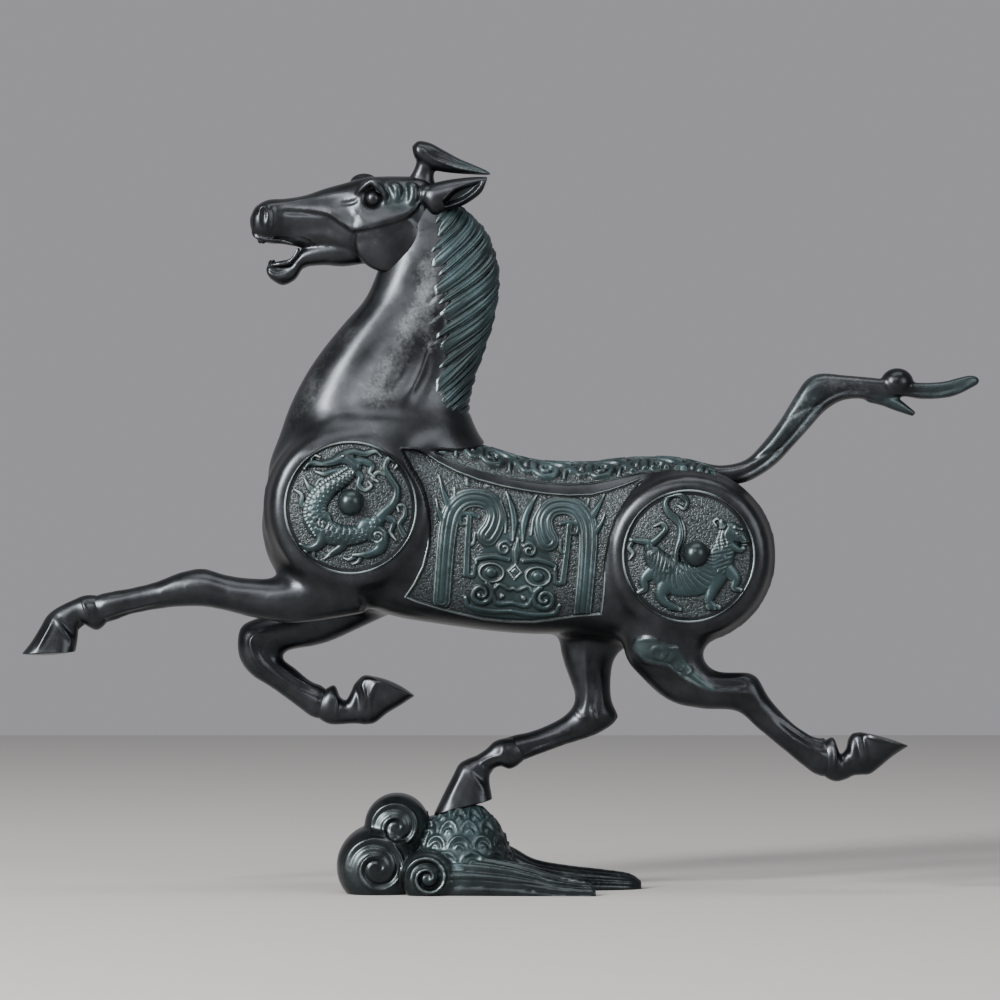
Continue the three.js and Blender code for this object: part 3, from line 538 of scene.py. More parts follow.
# Brass blackened with liver of sulphur and waxed: nearly black and glossy, in faint clouds where the wax
# lies thicker. Where the attribute patina is 1, a thin matt crust of verdigris lies over the metal, and
# where punched is 1 it is struck with small pebbles a millimetre apart. Handling rubs sharp edges and marked
# places lighter, and that lighter colour is also a painted highlight along the edges and a painted sheen on
# some marked places. Another mark darkens the colour to near black as painted shade in dips and creases and
# next to the carving.
def patinated(name, dark, light, green_dark, green_light, rubbed, roughness):
    """A material for the blackened metal, its verdigris and the lighter colour of handled metal, which is
    also a painted highlight and sheen, in these colours.
    """
    material = bpy.data.materials.new(name)
    material.use_nodes = True
    tree = material.node_tree
    tree.nodes.clear()
    place = add_node(tree, "ShaderNodeTexCoord", output="Object")
    edge_wear_and_highlight, painted_shade, green, rub, punched = (
        add_node(tree, "ShaderNodeAttribute", output="Fac", attribute_name=attribute)
        for attribute in ("edge_wear_and_highlight", "painted_shade", "patina", "rub", "punched")
    )
    clouds, grain, leather = (
        add_node(
            tree,
            "ShaderNodeTexNoise",
            {"Vector": place, "Scale": scale, "Detail": detail, "Roughness": rough},
        )
        for scale, detail, rough in ((60, 5, 0.6), (700, 4, 0.7), (1050, 1.5, 0.5))
    )
    cloudy, pebble_bump_and_sheen = (
        add_node(
            tree, "ShaderNodeMapRange", {"Value": value, "From Min": low, "From Max": high},
            interpolation_type=ease,
        )
        for value, low, high, ease in ((clouds, 0.35, 0.7, "LINEAR"), (leather, 0.36, 0.62, "SMOOTHSTEP"))
    )
    # Between the pebbles the struck crust is darker, and the pebbles' tops are greyer: rubbed metal, and a
    # painted sheen.
    black, verdigris, struck_and_sheen = (
        add_node(tree, "ShaderNodeMix", {0: share, 6: srgb(low), 7: srgb(high)}, output=2, data_type="RGBA")
        for share, low, high in (
            (cloudy, dark, light), (cloudy, green_dark, green_light), (pebble_bump_and_sheen, "#191d1e", "#30373a")
        )
    )
    # Rubbing starts where an edge or a handled place meets the speckle, which is stronger where it is
    # handled. The lighter colour it gives is also a painted highlight along edges and a painted sheen.
    rubbing = add_node(tree, "ShaderNodeMath", {0: edge_wear_and_highlight, 1: rub}, operation="ADD")
    speckle = add_node(tree, "ShaderNodeMath", {0: rub, 1: 1.8, 2: 0.4}, operation="MULTIPLY_ADD")
    speckled = add_node(tree, "ShaderNodeMath", {0: grain, 1: speckle, 2: rubbing}, operation="MULTIPLY_ADD")
    broken = add_node(tree, "ShaderNodeMath", {0: clouds, 1: 0.7, 2: speckled}, operation="MULTIPLY_ADD")
    worn_and_lit = add_node(
        tree, "ShaderNodeMapRange", {"Value": broken, "From Min": 0.66, "From Max": 1.5, "To Max": 0.75}
    )
    crust = add_node(
        tree, "ShaderNodeMix", {0: punched, 6: verdigris, 7: struck_and_sheen}, output=2, data_type="RGBA"
    )
    # Over the black go the verdigris, then painted shade towards near black, then the lighter colour of
    # rubbed metal, which is partly a painted highlight and sheen.
    colour = black
    for share, over in ((green, crust), (painted_shade, srgb("#0c0e0e")), (worn_and_lit, srgb(rubbed))):
        colour = add_node(tree, "ShaderNodeMix", {0: share, 6: colour, 7: over}, output=2, data_type="RGBA")
    metal = add_node(tree, "ShaderNodeMapRange", {"Value": green, "To Min": 0.92, "To Max": 0.5})
    dull = roughness - 0.04
    for share, rougher in ((cloudy, 0.08), (worn_and_lit, 0.2), (green, 0.04)):
        dull = add_node(tree, "ShaderNodeMath", {0: share, 1: rougher, 2: dull}, operation="MULTIPLY_ADD")
    height = add_node(tree, "ShaderNodeMath", {0: pebble_bump_and_sheen, 1: punched}, operation="MULTIPLY")
    height = add_node(tree, "ShaderNodeMath", {0: grain, 1: 0.16, 2: height}, operation="MULTIPLY_ADD")
    relief = add_node(tree, "ShaderNodeBump", {"Height": height, "Strength": 0.65, "Distance": 0.0003})
    surface = add_node(
        tree,
        "ShaderNodeBsdfPrincipled",
        {"Base Color": colour, "Roughness": dull, "Metallic": metal, "Normal": relief},
    )
    add_node(tree, "ShaderNodeOutputMaterial", {"Surface": surface})
    return material


# A finish is a material and the slot that it stands for.
BLACKENED = (
    patinated("blackened_brass", "#242628", "#36383b", "#162123", "#28393b", "#8d9193", roughness=0.33),
    "blackened_brass",
)


def piece(
    name, points, faces, finish=BLACKENED, node="horse", normals=None, blur=1, wear_and_highlight=1.0, shade_paint=0.0, **marks
):
    """Makes a piece of the ornament from points and faces. Its marks are where it is green (patina), pebbled
    (punched) or handled, which in places is a painted sheen, and how sharply it bulges or dips: the distance
    from a point to the mean of its neighbours, over half the square of the mesh's step, is the bend in 1/mm.
    Bulges take the lighter colour of handled metal, also a painted highlight, by a scale given for the
    piece;
    dips are darkened with painted shade, and more painted shade can be given for the piece."""
    if normals is None:
        normals = normals_of(points, faces)
    mesh = bpy.data.meshes.new(name)
    mesh.from_pydata((points / 1000).tolist(), [], faces.tolist())
    mesh.shade_smooth()
    mesh.normals_split_custom_set_from_vertices(normals.tolist())
    step = np.mean(np.linalg.norm(points[faces[:, 0]] - points[faces[:, 1]], axis=1))
    bend = 2 * np.sum((points - neighbour_mean(points, faces)) * normals, axis=1) / step**2
    for _ in range(blur):
        bend = 0.5 * bend + 0.5 * neighbour_mean(bend, faces)
    # Bulges lighten as rubbed metal and as a painted highlight; dips darken as painted shade, with more
    # painted shade where given.
    values = {
        "edge_wear_and_highlight": wear_and_highlight * np.clip(bend * 0.9 - 0.3, 0, 1),
        "painted_shade": np.clip(np.maximum(-bend * 0.8 - 0.1, shade_paint), 0, 1),
        "patina": 0.0,
        "punched": 0.0,
        "rub": 0.0,
    } | marks
    for label, value in values.items():
        attribute = mesh.attributes.new(label, "FLOAT", "POINT")
        attribute.data.foreach_set("value", np.broadcast_to(value, len(points)).astype(np.float32))
    material, slot = finish
    mesh.materials.append(material)
    made = bpy.data.objects.new(name, mesh)
    bpy.context.scene.collection.objects.link(made)
    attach(made, "root")
    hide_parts(node)


# A boss carries each medallion. Its outline runs from inside the body out and over to the medallion's seat.
BOSS = [
    (2, 14), (37.5, 18), (37.2, 26), (36.2, 31), (34, 34), (31.2, 35.2), (29.5, 34.9), (20, 34.4),
    (2, 34.3),
]
CHASED_ON_THE_NEAR_SIDE = [
    # reaching foreleg: tendon along the cannon
    ([(-180.5, 123.2), (-172, 126.2), (-164, 128.4), (-155, 130.6), (-146, 132)], 0.8, 0.55),
    ([(-180, 121.6), (-171, 124.6), (-162, 127), (-152, 129.2)], 0.8, -0.5),
    # trailing hind leg: hock, double line along the cannon
    ([(94, 91.2), (101, 90.9), (109, 90.2)], 1.2, 0.8),
    ([(92.5, 97.5), (98, 96.4), (104, 96.6), (110, 98.4)], 1.0, 0.6),
    ([(93, 94.4), (101.4, 93.4), (109.5, 94.2)], 1.5, -0.7),
    ([(124, 80.5), (132, 74.6), (140, 70), (147, 67)], 0.9, 0.6),
    ([(121.5, 79.5), (130.5, 73), (139, 67.5), (146.5, 64.4)], 0.9, -0.7),
    ([(119, 77.5), (129, 70.4), (138, 65.2), (145.5, 62.2)], 1.0, 0.5),
    # thigh: two lines that run down to the hock under a leaf, its volute and its curls
    ([(61, 107.8), (63.2, 104.8), (68, 103.3), (73, 102.4), (77, 99.4), (82, 96.4), (87, 92.9), (93, 90.6)],
     0.8, 0.7),
    ([(64, 106.3), (69, 104.9), (74, 104), (78, 100.9), (83, 97.8), (88, 94.6), (94, 91.6)], 0.8, -0.7),
    ([(60, 113.8), (64, 115), (68.5, 114.4), (72.3, 112), (75.5, 111.2), (78, 110.4), (78.6, 108.6)], 0.8,
     0.6),
    ([(67.2, 107.6), (67.6, 110), (70, 110.8), (72.4, 109.8), (72.2, 107.2), (70, 106), (68.4, 107.4)], 0.8,
     0.7),
    ([(76.4, 109), (76.2, 106.4), (73.6, 105), (70, 104.9)], 0.8, 0.5),
    ([(77.2, 103.6), (78, 101.6), (80, 101.2), (80.6, 103)], 0.8, 0.6),
    ([(79.6, 99.8), (82, 99.4), (84, 100.8), (83, 102)], 0.8, 0.6),
    ([(82, 105.2), (86, 99.6), (90.5, 95.6), (95.5, 91)], 0.8, -0.5),
]
CHASED_ON_THE_FAR_SIDE = [
    # folded foreleg: knee, two tendons along the cannon
    ([(-103.5, 117), (-109, 116.4), (-113, 113.5), (-112.8, 109), (-109.5, 102.5), (-104, 98), (-93, 90.4),
      (-80, 83.4)], 0.9, 0.55),
    ([(-106.5, 112), (-108.6, 107.4), (-104, 101.4), (-93.6, 93.2), (-79, 86.4)], 0.9, -0.6),
    ([(-101.5, 103), (-92.6, 95.6), (-78, 89.4)], 0.8, 0.5),
    # standing hind leg: tendon on the gaskin, crease of the hock, cannon
    ([(38, 112), (38.4, 100), (38.6, 88), (36.6, 79)], 1.5, 0.6),
    ([(42, 100), (43.4, 90), (43, 80)], 1.4, -0.5),
    ([(40.4, 84.5), (41.4, 80), (43, 76)], 0.9, 0.6),
    ([(32, 82), (35, 79), (38.6, 77.4)], 1.2, 0.5),
    ([(6, 58.6), (14, 63.4), (24, 66.6), (36, 70.4)], 0.7, 0.5),
    ([(7, 60.6), (14, 64.9), (24, 68.2), (34, 71.6)], 0.9, -0.5),
]
CHASED_ON_BOTH_SIDES = [
    # neck: the groove behind the windpipe, the fold in front of the mane, the windpipe, hairlines
    ([(-34, 280), (-45, 262), (-56, 244), (-66, 228), (-75, 210)], 6, -0.8),
    ([(-32.6, 246), (-34.6, 238), (-38, 229.6), (-42, 222), (-44.6, 218.6)], 1.6, 0.7),
    ([(-29.8, 242), (-31.2, 234), (-34.6, 226.6), (-39, 219.4)], 2.6, -0.7),
    ([(-37.6, 247), (-41.4, 238), (-46, 229.6), (-51, 222.4)], 3.2, -0.7),
    ([(-40, 288), (-46, 276), (-56, 261), (-68, 243), (-80, 225), (-89, 205)], 9.5, 0.85),
    ([(-33.2, 264), (-30, 267.2), (-26.5, 270.6)], 0.8, -0.6),
    ([(-32.4, 256), (-29.2, 258.6), (-25.5, 261)], 0.8, -0.6),
    ([(-33, 244.6), (-29.5, 247.8), (-25.5, 250)], 0.8, -0.6),
]
FOLD_OVER_THE_CAPE = [
    (-90, 200.5), (-86.5, 205), (-82, 208.6), (-75, 211.8), (-67, 214.2), (-58, 216), (-49, 216.8),
    (-40, 216.6), (-31, 214.6),
]
THIGH_LEAF = [
    (60, 114.5), (66, 115), (72, 112.3), (78, 110.5), (82, 105), (88, 98.5), (95, 91.4), (88, 93.4),
    (80, 98), (73, 102.8), (66, 104.2), (61, 107), (58.5, 111),
]
MANE_EDGE = [
    (-24, 211), (-27.5, 216), (-31.3, 224.6), (-33, 244), (-32.6, 264), (-33, 272.7), (-28.6, 286.7),
    (-24.5, 296.7), (-22.3, 304.3),
]
# Where handling has rubbed the neck: a line, its half width and how far it is rubbed.
RUBBED = [
    ([(-34, 281), (-33.6, 268), (-32.6, 256), (-32, 246)], 5, 0.18),
    ([(-37, 262), (-43, 246), (-49, 234), (-54.5, 222)], 5.5, 0.15),
    ([(-66, 264), (-77, 247), (-87, 230), (-93, 214)], 6, 0.1),
]
NECK_FOOT = 214  # height at which the neck's piece meets the trunk's two
MIDDLE_OF_THE_TRUNK = 6  # x at which the forequarters' piece meets the hindquarters'


def within(places, outline):
    """How far places lie within the smooth closed outline through points: negative outside it."""
    loop = [*outline, outline[0]]
    distance, _, _ = from_line(places, loop)
    curve = smooth_line(loop)
    crossings = np.zeros(len(places), int)
    for (x, z), (next_x, next_z) in zip(curve[:-1], curve[1:]):
        spans = (z > places[:, 1]) != (next_z > places[:, 1])
        crossings += spans & (places[:, 0] < x + (next_x - x) * (places[:, 1] - z) / (next_z - z + 1e-12))
    return np.where(crossings % 2 == 1, distance, -distance)


forms = [ribbed_form(TRUNK, power=TRUNK_POWER), ribbed_form(NECK), ribbed_form(CAPE, power=2.4)]
forms += [ribbed_form(leg["ribs"], leg["sides"]) for leg in LEGS]
forms += [turned_form(BOSS, centre, side) for centre in (SHOULDER, HAUNCH) for side in (-1, 1)]
points, faces = cast(forms, cube=1.6)
# Little wax is run in where a boss or the neck's foot meets a panel: those corners stay crisp.
seen = points[:, ::2]
corner = bell(inside_flank(seen), 4.5, power=4) * (np.abs(points[:, 1]) > 20)
foot = patch(seen, (-8, 201), (9, 5), power=4)
points = run_fillets(points, faces, rounds=34, share=1 - 0.85 * np.maximum(corner, 0.8 * foot))
# The cape is scraped smoother than the rest.
points = scraped(points, faces, 0.6 * patch(points[:, ::2], (-48, 207), (42, 8), power=4), rounds=60)
points, faces = worked(points, faces, "SUBSURF", levels=1)
points = chase(points, faces, CHASED_ON_THE_NEAR_SIDE, (-50, -4))
points = chase(points, faces, CHASED_ON_THE_FAR_SIDE, (-4, 50))
points = chase(points, faces, CHASED_ON_BOTH_SIDES)
# The neck ends in a soft fold over the cape: a step of 1.6 mm that dies out 12 mm above it and 8 mm below
# it.
distance, passed, side = from_line(points[:, ::2], FOLD_OVER_THE_CAPE, reach=24)
step = np.where(side > 0, 0.8 * bell(distance, 12), -0.8 * bell(distance, 8))
step *= (1 - bell(distance, 2.6)) * tapered(passed, 0.7)
points = raised(points, faces, step * np.clip(2 * np.abs(normals_of(points, faces)[:, 1]), 0, 1))
points = scraped(points, faces, 0.5 * bell(distance, 7, power=4), rounds=24)

# The flanks are cut back 1.2 mm below the trunk's surface for the carved panels, and the spine 1.4 mm.
# Outside the borders the trunk keeps its height.
seen = points[:, ::2]
inside = inside_flank(seen)
limit = flank_at(seen) + 2 - 3.2 * ramp(inside, 0, 1.2)
cut_back = np.sign(points[:, 1]) * np.minimum(np.abs(points[:, 1]), limit)
points[:, 1] = np.where(inside > 0, cut_back, points[:, 1])
points = raised(points, faces, -1.4 * eased(ramp(inside_spine(seen), 0, 1.2)))
# The neck's back is sunk 1 mm for the mane, from 7 mm behind the line where its locks end. The leaf on the
# thigh stands 0.5 mm proud and keeps its verdigris.
seen = points[:, ::2]
mane_edge_x, mane_edge_z = np.transpose(MANE_EDGE)
behind_edge = seen[:, 0] - np.interp(seen[:, 1], mane_edge_z, mane_edge_x)
points = raised(points, faces, -eased(ramp(behind_edge, 7, 4) * ramp(seen[:, 1], NECK_FOOT, 4)))
seen = points[:, ::2]
leaf = np.clip(within(seen, THIGH_LEAF) / 0.9 + 0.5, 0, 1) * (points[:, 1] < -4)
points = raised(points, faces, 0.5 * leaf)
seen = points[:, ::2]
normals = normals_of(points, faces)
edge_rub, middle_rub, front_rub = (
    strength * bell(from_line(seen, line, reach=20)[0], width) for line, width, strength in RUBBED
)
rub = (np.maximum(edge_rub, middle_rub) + front_rub) * np.clip(4 * np.abs(normals[:, 1]) - 1, 0, 1)

# The mesh is kept in three pieces that meet without a step, because their points and normals are shared.
middle = points[faces].mean(axis=1)
neck_faces = middle[:, 2] > NECK_FOOT
fore_faces = ~neck_faces & (middle[:, 0] < MIDDLE_OF_THE_TRUNK)
hind_faces = ~neck_faces & ~fore_faces
for name, chosen in (("neck", neck_faces), ("forequarters", fore_faces), ("hindquarters", hind_faces)):
    used, renumbered = np.unique(faces[chosen], return_inverse=True)
    piece(name, points[used], renumbered.reshape(-1, 4), normals=normals[used], patina=0.85 * leaf[used],
          rub=rub[used])

# The feet, cast with the legs: a fetlock with its ergot behind, a slim pastern, and a hoof with a flat side
# between two ridges, filed flat or slightly domed below.
TOP_RINGS = 6  # rings that close the foot's upper end inside the leg
SOLE_RINGS = 14  # rings that close its sole
rows, columns = 190, 112
for name, leg in zip(("reaching_foot", "folded_foot", "standing_foot", "trailing_foot"), LEGS):
    last = len(leg["foot"]) - 1
    open_rings = rows - TOP_RINGS - SOLE_RINGS
    station = np.concatenate(
        [np.zeros(TOP_RINGS), np.linspace(0, last, open_rings), np.full(SOLE_RINGS, last)]
    )
    shrink = np.concatenate(
        [np.linspace(0.02, 0.98, TOP_RINGS), np.ones(open_rings), np.linspace(0.985, 0.02, SOLE_RINGS)]
    )
    # The upper end is sunk into the leg, and the sole's edge is rounded.
    lift = -0.9 * ramp(station, 0.8, -0.8) ** 2 - 0.5 * ramp(station, last - 0.1, 0.1) ** 2
    power = 2.2 + 0.8 * ramp(station, 5, 3)
    around = np.arange(columns)[None] / columns
    sides = [leg["sides"][1]] * 2
    rings = ribbed(leg["foot"], station[:, None], around, sides, power[:, None], lift[:, None])
    # The sole's dome bulges square to the line from toe to heel, away from the leg.
    toe, heel, ribs_above = np.array(leg["foot"][-1][:2]), np.array(leg["foot"][-1][2:4]), leg["foot"][-2]
    below = np.array([heel[1] - toe[1], toe[0] - heel[0]]) / np.linalg.norm(heel - toe)
    below *= np.sign(below @ (toe + heel - ribs_above[:2] - ribs_above[2:4]))
    centre = rings.mean(axis=1, keepdims=True)
    rings = centre + (rings - centre) * shrink[:, None, None]
    rings[-SOLE_RINGS:, :, ::2] += (leg["dome"] * (1 - shrink[-SOLE_RINGS:] ** 2))[:, None, None] * below
    points, faces = closed_form(rings)
    piece(name, chase(points, faces, leg["lines"]), faces, wear_and_highlight=0.5)

# The head: cast with the neck and chased the finest of all, with an open mouth, a flat round cheek and a
# sharp ridge that runs under the eye to the ear. The eye is a smooth ball in a deep socket between two lids.
SKULL = [
    (-27.5, 315, -30, 306, 6),  # back of the skull
    (-34.5, 321.5, -34.5, 289, 11),
    (-43.5, 322, -43.5, 281.5, 13.5),  # cheek
    (-52.5, 322, -54, 280, 14.5),
    (-61.5, 321.5, -63, 283.5, 14),  # eyes
    (-70.5, 319, -70.5, 286.5, 11.5),
    (-79.5, 316.5, -79.5, 289, 9.5),
    (-88.5, 313.5, -89.5, 290, 8.5),  # corner of the mouth
    (-97.5, 312, -98.5, 291.5, 8),
    (-105, 311.5, -105, 292, 9.5),  # nostrils
    (-110.5, 308.5, -111, 294.5, 8),
    (-113, 304, -113, 299.5, 4),  # upper lip
]
JAW = [
    (-58, 297, -58, 283.5, 9),  # hinge
    (-70.5, 294.5, -70.5, 281.5, 8.5),
    (-79.5, 293.5, -79.5, 282, 7.5),
    (-87, 291, -87, 281.5, 6.5),
    (-91.5, 288, -89.5, 280.5, 6),
    (-95, 283.5, -93, 275.5, 5.8),
    (-100.5, 282.5, -98.5, 273, 5.6),  # chin
    (-105, 282, -103.5, 275.5, 5),
    (-106, 280.5, -105.5, 278, 3),  # lower lip
]
EYE = (-57.8, 312.4)
CHEEK = (-50.5, 293)
NOSTRIL = (-106.6, 304.6)
RIDGE_FRONT = [(-99, 308.2), (-88, 307.4), (-78, 305.8), (-72, 302.4), (-66.2, 298.6)]
RIDGE_BACK = [(-66.2, 298.6), (-60, 299.7), (-50, 302), (-43, 304.6), (-38.5, 308.4)]


def ball(centre, radii, around=40):
    """A closed ball: centre + (rx cos v cos u, ry sin v, rz cos v sin u)."""
    tilt = np.linspace(-0.499, 0.499, 25)[:, None] * np.pi
    turn = 2 * np.pi * np.arange(around)[None] / around
    unit = np.broadcast_arrays(np.cos(tilt) * np.cos(turn), np.sin(tilt), np.cos(tilt) * np.sin(turn))
    return closed_form(np.asarray(centre) + np.stack(unit, -1) * np.asarray(radii))


def rod(points, radii, around=14, steps=6):
    """A closed round bar on the smooth curve through points: rings p + r (u cos a + v sin a), with u and v
    square to the curve and u nearest to the horse's width. Its ends are rounded by r (1 - (2s - 1) ** 8) **
    0.5, where s is the share of the way along."""
    share = np.linspace(0, 1, steps * (len(points) - 1) + 1)[:, None]
    path = through(points, share[:, 0] * (len(points) - 1))
    along = np.gradient(path, axis=0)
    along /= np.linalg.norm(along, axis=1, keepdims=True)
    u = np.array([0, 1, 0]) - along * along[:, 1:2]
    u /= np.linalg.norm(u, axis=1, keepdims=True)
    v = np.cross(along, u)
    radius = np.interp(share, np.linspace(0, 1, len(radii)), radii) * (1.0001 - (2 * share - 1) ** 8) ** 0.5
    turn = 2 * np.pi * np.arange(around)[None, :, None] / around
    ring = u[:, None] * np.cos(turn) + v[:, None] * np.sin(turn)
    return closed_form(path[:, None] + radius[:, None] * ring)


def mirrored(points, faces):
    """A form on the other side of the horse."""
    return points * (1, -1, 1), faces[:, ::-1]


def arc(x, z, radius_x, radius_z, start, end, count=9):
    """Points on a part of an oval, seen from the side. Angles are in turns, from the tail's side and
    upwards."""
    turn = 2 * np.pi * np.linspace(start, end, count)
    return np.stack([x + radius_x * np.cos(turn), z + radius_z * np.sin(turn)], -1)


def tilted(points):
    """Points turned by 5 degrees about the head's length, at a height of 300, which lowers its near side a
    little."""
    turn = np.radians(5)
    x, y, z = (points - (0, 0, 300)).T
    return np.stack([x, y * np.cos(turn) - z * np.sin(turn), 300 + z * np.cos(turn) + y * np.sin(turn)], -1)


def off_centre(seen, middle, shares=(1, 1)):
    """The distance of places from a middle, each direction over its share."""
    return np.linalg.norm((seen - middle) / shares, axis=1)


nostril_rim = [(x, -9 + 0.25 * (-104 - x), z) for x, z in arc(*NOSTRIL, 1.9, 4, 0, 1.08, 14)]
near_side_forms = [
    ball((-50.5, -10.9, 293), (15.5, 3.4, 13.9)),  # cheek
    ball((-57.6, -8.4, 316), (6.8, 4.3, 4.6)),  # brow
    ball((-33.2, -9.5, 314.2), (4.4, 4, 4.3)),  # root of the ear
    rod([(-65.5, -11, 313.6), (-62, -12.6, 317.4), (-57.8, -13.6, 320), (-55, -13.8, 317.4),
        (-52.8, -13.4, 314), (-51, -12.6, 310.4)], (0.8, 1.2, 1.4, 2.1, 2.0, 1)),  # upper lid
    rod([(-62.6, -12.2, 309.6), (-60.8, -13, 307.7), (-57.4, -13.5, 306.8), (-54.2, -13.3, 307.3),
        (-52.4, -12.6, 309)], (0.6, 0.9, 1.0, 0.9, 0.6)),  # lower lid
    rod([(-68.5, -11, 308.6), (-65.4, -12.4, 306.2), (-62.4, -13.2, 303.6), (-59, -13.5, 302.4),
        (-54.5, -13.5, 303.2), (-50.8, -13.1, 305.8)], (0.5, 1.0, 1.1, 0.9, 0.8, 0.5)),  # fold below it
    rod([(-41.6, -9.4, 319.4), (-39.6, -10.7, 316.6), (-40, -11.2, 312.6), (-42.6, -11.6, 309.2)],
        (1.6, 2.7, 2.6, 1.4)),  # fold before the ear
    rod([(-50, -9.6, 319.2), (-47, -10.9, 316.6), (-46.8, -11.2, 312.8), (-48.6, -11.6, 309)],
        (1.4, 2.6, 2.6, 1.3)),
    rod(nostril_rim, (0.4, 0.8, 0.4)),
    rod([(-112.4, -4, 298), (-110, -6.8, 295), (-104, -8, 293.6), (-98, -7.8, 293.2), (-92.5, -7.6, 291.6)],
        (0.7, 0.9, 0.8, 0.7, 0.5)),  # upper lip
    rod([(-91.3, -6.8, 290), (-92.6, -6.4, 286.6), (-95.5, -6, 283.8), (-100, -5.6, 282.8),
        (-105.2, -3.6, 281.9)], (0.8, 1, 1, 1, 1)),  # lower lip
]
teeth = [ball((-109.3 + abs(y) * 0.5, y, 293.6), (1.3, 1.1, 2), around=16) for y in (-4.2, -1.4, 1.4, 4.2)]
teeth += [ball((-104.6 + abs(y) * 0.6, y, 283), (1.1, 1, 1.6), around=16) for y in (-3, -1, 1, 3)]
tongue = rod([(-84, 0, 286), (-91, 0, 283.2), (-97, 0, 281.4), (-102, 0, 281.2)], (3.2, 3.2, 2.8, 1.8))
lifted_far_brow = ball((-62, 6.5, 318.6), (6.5, 4.5, 4.6))
head_forms = [ribbed_form(SKULL, power=2.5), ribbed_form(JAW), tongue, *teeth]
head_forms += [*near_side_forms, *(mirrored(*form) for form in near_side_forms), lifted_far_brow]
points, faces = cast(head_forms, cube=0.5)
points = run_fillets(points, faces, rounds=6)
CHASED_ON_THE_HEAD = [
    # edge of the nose's flat top
    ([(-103, 309.4), (-96, 310.2), (-86, 312.4), (-76, 314.4), (-67, 316)], 1.2, 0.5),
    # hollow along the nose, and the swelling below it
    ([(-99, 306.2), (-90, 306), (-80, 304.8)], 1.3, -0.5),
    ([(-98, 303.4), (-88, 303.7), (-77, 303)], 2.2, 0.5),
    ([(-96, 298.6), (-86, 298.2), (-76, 297), (-70, 293)], 2.6, -0.4),
    ([(-90, 295.2), (-80, 296.6), (-74, 294), (-70.5, 291)], 1.8, 0.4),  # muscle behind the mouth
    ([(-103, 309.6), (-102.4, 304), (-103.2, 297.6)], 1.2, -0.6),  # groove behind the nostril
    ([(-72, 310), (-67.5, 310.6), (-64, 312)], 1.1, -0.7),  # inner corner of the eye
    ([(-92.6, 293.9), (-88.8, 293.2), (-86, 290.2)], 0.7, 0.35),  # folds at the corner of the mouth
    ([(-91.4, 294.8), (-87.4, 293.8), (-84.6, 290.6)], 0.6, -0.4),
    ([(-90, 295.6), (-86, 294.4), (-83.2, 291)], 0.7, 0.35),
    ([(-88.6, 296.4), (-84.6, 295), (-81.8, 291.6)], 0.6, -0.3),
    ([(-105.4, 280.6), (-101, 279.2), (-96, 280.4)], 0.7, -0.6),  # folds of the chin
    ([(-104, 278), (-99.5, 276.6), (-95.5, 277.8)], 0.7, 0.35),
    (arc(*CHEEK, 16.3, 14.8, 0.44, 1.0), 1.0, -1.0),  # round the cheek
]
points = chase(points, faces, CHASED_ON_THE_HEAD)
normals = normals_of(points, faces)
facing = sideways_share(normals)
seen = points[:, ::2]
socket = bell(off_centre(seen, EYE, (1, 1.05)), 4, power=4)
nostril_pit = bell(off_centre(seen, NOSTRIL, (0.36, 0.9)), 3.4)
# The ridge on the cheek comes to a point below the eye. It is steep below, and falls away gently above.
before, _, above_front = from_line(seen, RIDGE_FRONT, reach=40)
behind, _, above_back = from_line(seen, RIDGE_BACK, reach=40)
ridge = np.minimum(before, behind)
upper_side = (above_front > 0) & (above_back > 0)
plate = 1.6 * bell(ridge, np.where(upper_side, 4.5, 1)) * ramp(seen[:, 0], -100, 24)
flat_cheek = 0.5 * ramp(off_centre(seen, CHEEK, (15.4, 13.8)), 1, -0.09) * ~upper_side * ramp(ridge, 0, 2.5)
temple = patch(seen, (-45, 313.5), (8, 5.5), power=4)
height = plate + flat_cheek - 2.8 * socket - nostril_pit - 0.5 * temple
points += (height * facing)[:, None] * normals
points = run_fillets(points, faces, rounds=2)
# Painted shade darkens the eye socket above 305 mm and the nostril.
shade_paint = np.maximum(0.8 * socket * (seen[:, 1] > 305), 0.4 * nostril_pit) * facing
piece("head", tilted(points), faces, blur=3, wear_and_highlight=0.8, shade_paint=shade_paint, patina=0.75 * temple)

for name, side in (("near_eye", -1), ("far_eye", 1)):
    points, faces = ball((-57.5, side * 10.3, 312.3), (3.6, 3.3, 3.7), around=64)
    piece(name, tilted(points), faces, wear_and_highlight=0)

# The ears lie back along the neck: leaf-shaped cups with a hollow darkened by painted shade, cast with
# the head. A little verdigris is left in the hollow.
EAR = [
    (-37.5, 316.5, -35, 309, 4),  # root
    (-32, 318.5, -30, 304.6, 6),
    (-25.5, 320, -22.5, 307.5, 5.5),
    (-18.5, 321, -15.8, 310, 4.6),
    (-12.2, 321.5, -9.2, 314.9, 3.2),
    (-6.6, 321.5, -6.5, 320.7, 1),  # tip
]
HOLLOW = [
    (-27, 311.4), (-22, 316.5), (-15.4, 319.3), (-8.6, 320.7), (-10.4, 316.4), (-16.6, 311.6),
    (-24.6, 308.6),
]
EAR_ROOT, EAR_TIP = -8, -12  # how far across the horse the near ear starts and ends
rows, columns = 130, 110
station = np.linspace(0, len(EAR) - 1, rows)
rings = ribbed(EAR, station[:, None], np.arange(columns)[None] / columns, (EAR_ROOT, EAR_TIP))
points, faces = closed_form(rings)
middle_y = EAR_ROOT + (EAR_TIP - EAR_ROOT) * station / (len(EAR) - 1)
outer = points[:, 1] < np.repeat(middle_y, columns)
cup = np.where(outer, ramp(within(points[:, ::2], HOLLOW), 0, 2.4), 0)
points[:, 1] += 0.75 * eased(cup) * np.repeat(through(EAR, station)[:, 4], columns)
